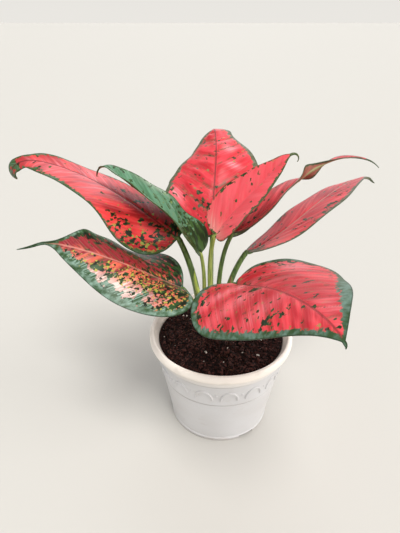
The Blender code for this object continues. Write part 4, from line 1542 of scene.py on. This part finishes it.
    def arches(self) -> bpy.types.Object:
        """Model the raised arches and studs as rounded bars half sunk in the wall.

        Returns:
            One object holding all of them.
        """
        pieces = []
        pitch = 360.0 / self.arch_count
        for number in range(self.arch_count):
            middle = self.first_arch + pitch * number
            turns = np.linspace(0, math.pi, 25)
            angles = middle - self.arch_half * np.cos(turns)
            heights = self.arch_foot + self.arch_rise * np.sin(turns) ** 0.8
            path = np.array([ring_point(self.wall_radius(height) - 0.1, angle, height)
                             for angle, height in zip(angles, heights)])
            radii = np.full(len(path), self.arch_radius)
            radii[[0, -1]] = 0.4
            pieces.append(bent_rod(f"arch_{number}", path, radii, 3))
            wall = self.wall_radius(self.stud_height)
            stud = np.array([ring_point(wall + out, middle + pitch / 2, self.stud_height)
                             for out in (-0.8, 0.2, 0.45, 0.5)])
            pieces.append(bent_rod(f"stud_{number}", stud, np.array((1.3, 1.25, 0.8, 0.2)), 3))
        return join(pieces, "pot_arches")

    def finish(self) -> bpy.types.Material:
        """Build moulded polypropylene: milky white, satin, faintly handled, paler and creamier towards
        the
            rim with painted light, with painted shade in its grooves, and darker towards its foot.

        Returns:
            The material.
        """
        material, tree, shader = new_material("moulded_white_polypropylene")
        where = object_mm(tree)
        height = add_node(tree, "SeparateXYZ", None, {0: where}).outputs["Z"]
        body = add_node(tree, "Mix", COLOURS,
                        {0: grain(tree, where, (40, 40, 26), 2), 6: "#CCC9C8", 7: "#DBDBDE"}).outputs[2]
        # Painted light: paler and creamier towards the rim, whose top catches the light.
        colour = add_node(tree, "Mix", COLOURS,
                          {0: add_node(tree, "MapRange", SMOOTH, {0: height, 1: 80, 2: 96}).outputs[0],
                           6: body, 7: "#FAF1E8"}).outputs[2]
        smudge = add_node(tree, "MapRange", SMOOTH,
                          {0: grain(tree, where, (16, 16, 9), 5, 4.0), 1: 0.58, 2: 0.74}).outputs[0]
        colour = add_node(tree, "Mix", COLOURS,
                          {0: add_node(tree, "Math", {"operation": "MULTIPLY"},
                                       {0: smudge, 1: 0.22}).outputs[0],
                           6: colour, 7: "#B9ADA4"}).outputs[2]
        # Painted shade: a thin dark band at each groove's height, where shadow falls in it.
        for groove, depth in self.grooves:
            away = add_node(tree, "Math", {"operation": "ABSOLUTE"},
                            {0: add_node(tree, "Math", {"operation": "SUBTRACT"},
                                         {0: height, 1: groove}).outputs[0]}).outputs[0]
            shadow = add_node(tree, "Math", {"operation": "MULTIPLY"},
                              {0: add_node(tree, "MapRange", SMOOTH,
                                           {0: away, 1: 1.5, 2: 0.3}).outputs[0],
                               1: depth}).outputs[0]
            colour = add_node(tree, "Mix", COLOURS, {0: shadow, 6: colour, 7: "#94887F"}).outputs[2]
        # Darker and browner over the lowest 5 mm.
        foot_darkening = add_node(tree, "MapRange", SMOOTH, {0: height, 1: 5.0, 2: 0.0}).outputs[0]
        colour = add_node(tree, "Mix", COLOURS,
                          {0: add_node(tree, "Math", {"operation": "MULTIPLY"},
                                       {0: foot_darkening, 1: 0.3}).outputs[0],
                           6: colour, 7: "#A8978A"}).outputs[2]
        tree.links.new(colour, shader.inputs["Base Color"])
        rough = add_node(tree, "Math", {"operation": "ADD"},
                         {0: add_node(tree, "Math", {"operation": "MULTIPLY"},
                                      {0: smudge, 1: 0.12}).outputs[0],
                          1: 0.33}).outputs[0]
        tree.links.new(rough, shader.inputs["Roughness"])
        shader.inputs["IOR"].default_value = 1.49
        tree.links.new(add_node(tree, "Bump", {"Distance": 0.06 * MM, "Strength": 1.0},
                                {"Height": grain(tree, where, (5, 5, 5), 3)}).outputs[0],
                       shader.inputs["Normal"])
        return material

    def build(self) -> None:
        """Model the pot and dress it."""
        shell = self.shell()
        self.notch(shell)
        material = self.finish()
        shell.data.materials.clear()
        shell.data.materials.append(material)
        smooth_by_angle(shell, self.crease_angle)
        place(shell, "pot_plastic", "pot")
        arches = self.arches()
        arches.data.materials.append(material)
        place(arches, "pot_plastic", "pot")


# ---------------------------------------------------------------- studio


class Side(Enum):
    """Which way a soft light lies, seen from the plant."""

    ABOVE = (0.15, -0.5, 1.25)
    FRONT = (0.25, -0.95, 1.0)
    BEHIND = (0.12, 1.32, 0.7)
    RIGHT = (1.2, -0.25, 0.35)


@dataclass
class Studio:
    """Pale floor, soft lights and the camera.

    Lens and sensor are millimetres, pitch is degrees and the eye is metres. A lamp is its side,
    spread, strength and tint.
    """

    lens: float = 30.0562852
    sensor: float = 36.0
    pitch: float = 29.4
    eye: Triple = (-0.0205, -0.353, 0.371)
    floor_size: float = 60.0
    lamps: tuple[tuple[Side, float, float, str], ...] = (
        (Side.ABOVE, 24.0, 2.0, "#FFFDF8"), (Side.FRONT, 32.0, 0.72, "#FFFDFA"),
        (Side.BEHIND, 44.0, 0.55, "#F8FBFF"), (Side.RIGHT, 36.0, 1.3, "#FFFAF5"))

    def floor(self) -> None:
        """Lay a plain pale floor."""
        bpy.ops.object.select_all(action="DESELECT")
        bpy.ops.mesh.primitive_plane_add(size=self.floor_size)
        floor = bpy.context.object
        floor.name = "studio_floor"
        material, _, shader = new_material("pale_floor")
        shader.inputs["Base Color"].default_value = linear("#C6C3BE")
        shader.inputs["Roughness"].default_value = 0.85
        floor.data.materials.append(material)

    def light(self, side: Side, spread: float, strength: float, tint: str) -> None:
        """Set one broad light so far off that the whole floor is lit alike.

        Args:
            side: which way it lies.
            spread: how wide it looks from the plant, in degrees.
            strength: its strength in watts per square metre.
            tint: its colour.
        """
        bpy.ops.object.light_add(type="SUN", location=side.value)
        lamp = bpy.context.object
        lamp.name = f"soft_light_{side.name.lower()}"
        lamp.data.angle = math.radians(spread)
        lamp.data.energy = strength
        lamp.data.color = linear(tint)[:3]
        lamp.rotation_euler = (-Vector(side.value)).to_track_quat("-Z", "Y").to_euler()

    def camera(self) -> None:
        """Set the camera at its place, looking down at the plant."""
        bpy.ops.object.camera_add(location=self.eye)
        camera = bpy.context.object
        camera.rotation_euler = (math.radians(90 - self.pitch), 0, 0)
        camera.data.sensor_width = self.sensor
        camera.data.lens = self.lens
        camera.data.clip_start = 0.01
        camera.data.clip_end = 100.0
        bpy.context.scene.camera = camera

    def air(self) -> None:
        """Fill the room with even light, and let the horizon fade into the floor's tone."""
        world = bpy.data.worlds.new("studio_air")
        world.use_nodes = True
        tree = world.node_tree
        coordinates = add_node(tree, "TexCoord")
        up = add_node(tree, "SeparateXYZ", None, {0: coordinates.outputs["Generated"]})
        sky = add_node(tree, "Mix", COLOURS,
                       {0: add_node(tree, "MapRange", SMOOTH,
                                    {0: up.outputs["Z"], 1: 0.1, 2: 0.7}).outputs[0],
                        6: "#BEBDBB", 7: "#DADCDC"}).outputs[2]
        sky = add_node(tree, "Mix", COLOURS,
                       {0: add_node(tree, "MapRange", SMOOTH,
                                    {0: up.outputs["Z"], 1: 0.3, 2: 0.0}).outputs[0],
                        6: sky, 7: "#FFFCF6"}).outputs[2]
        tree.links.new(sky, tree.nodes["Background"].inputs["Color"])
        tree.nodes["Background"].inputs["Strength"].default_value = 0.82
        bpy.context.scene.world = world
        bpy.context.scene.view_settings.view_transform = "Standard"

    def build(self) -> None:
        """Set up the studio."""
        self.air()
        self.floor()
        for lamp in self.lamps:
            self.light(*lamp)
        self.camera()


def main() -> None:
    """Build every piece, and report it."""
    logging.basicConfig(level=logging.INFO, format="%(name)s %(message)s")
    Pot().build()
    Soil().build()
    Cane().build()
    Stalks().build()
    for leaf in LEAVES:
        LeafBlade(leaf).build()
    Studio().build()


if __name__ == "__main__":
    main()
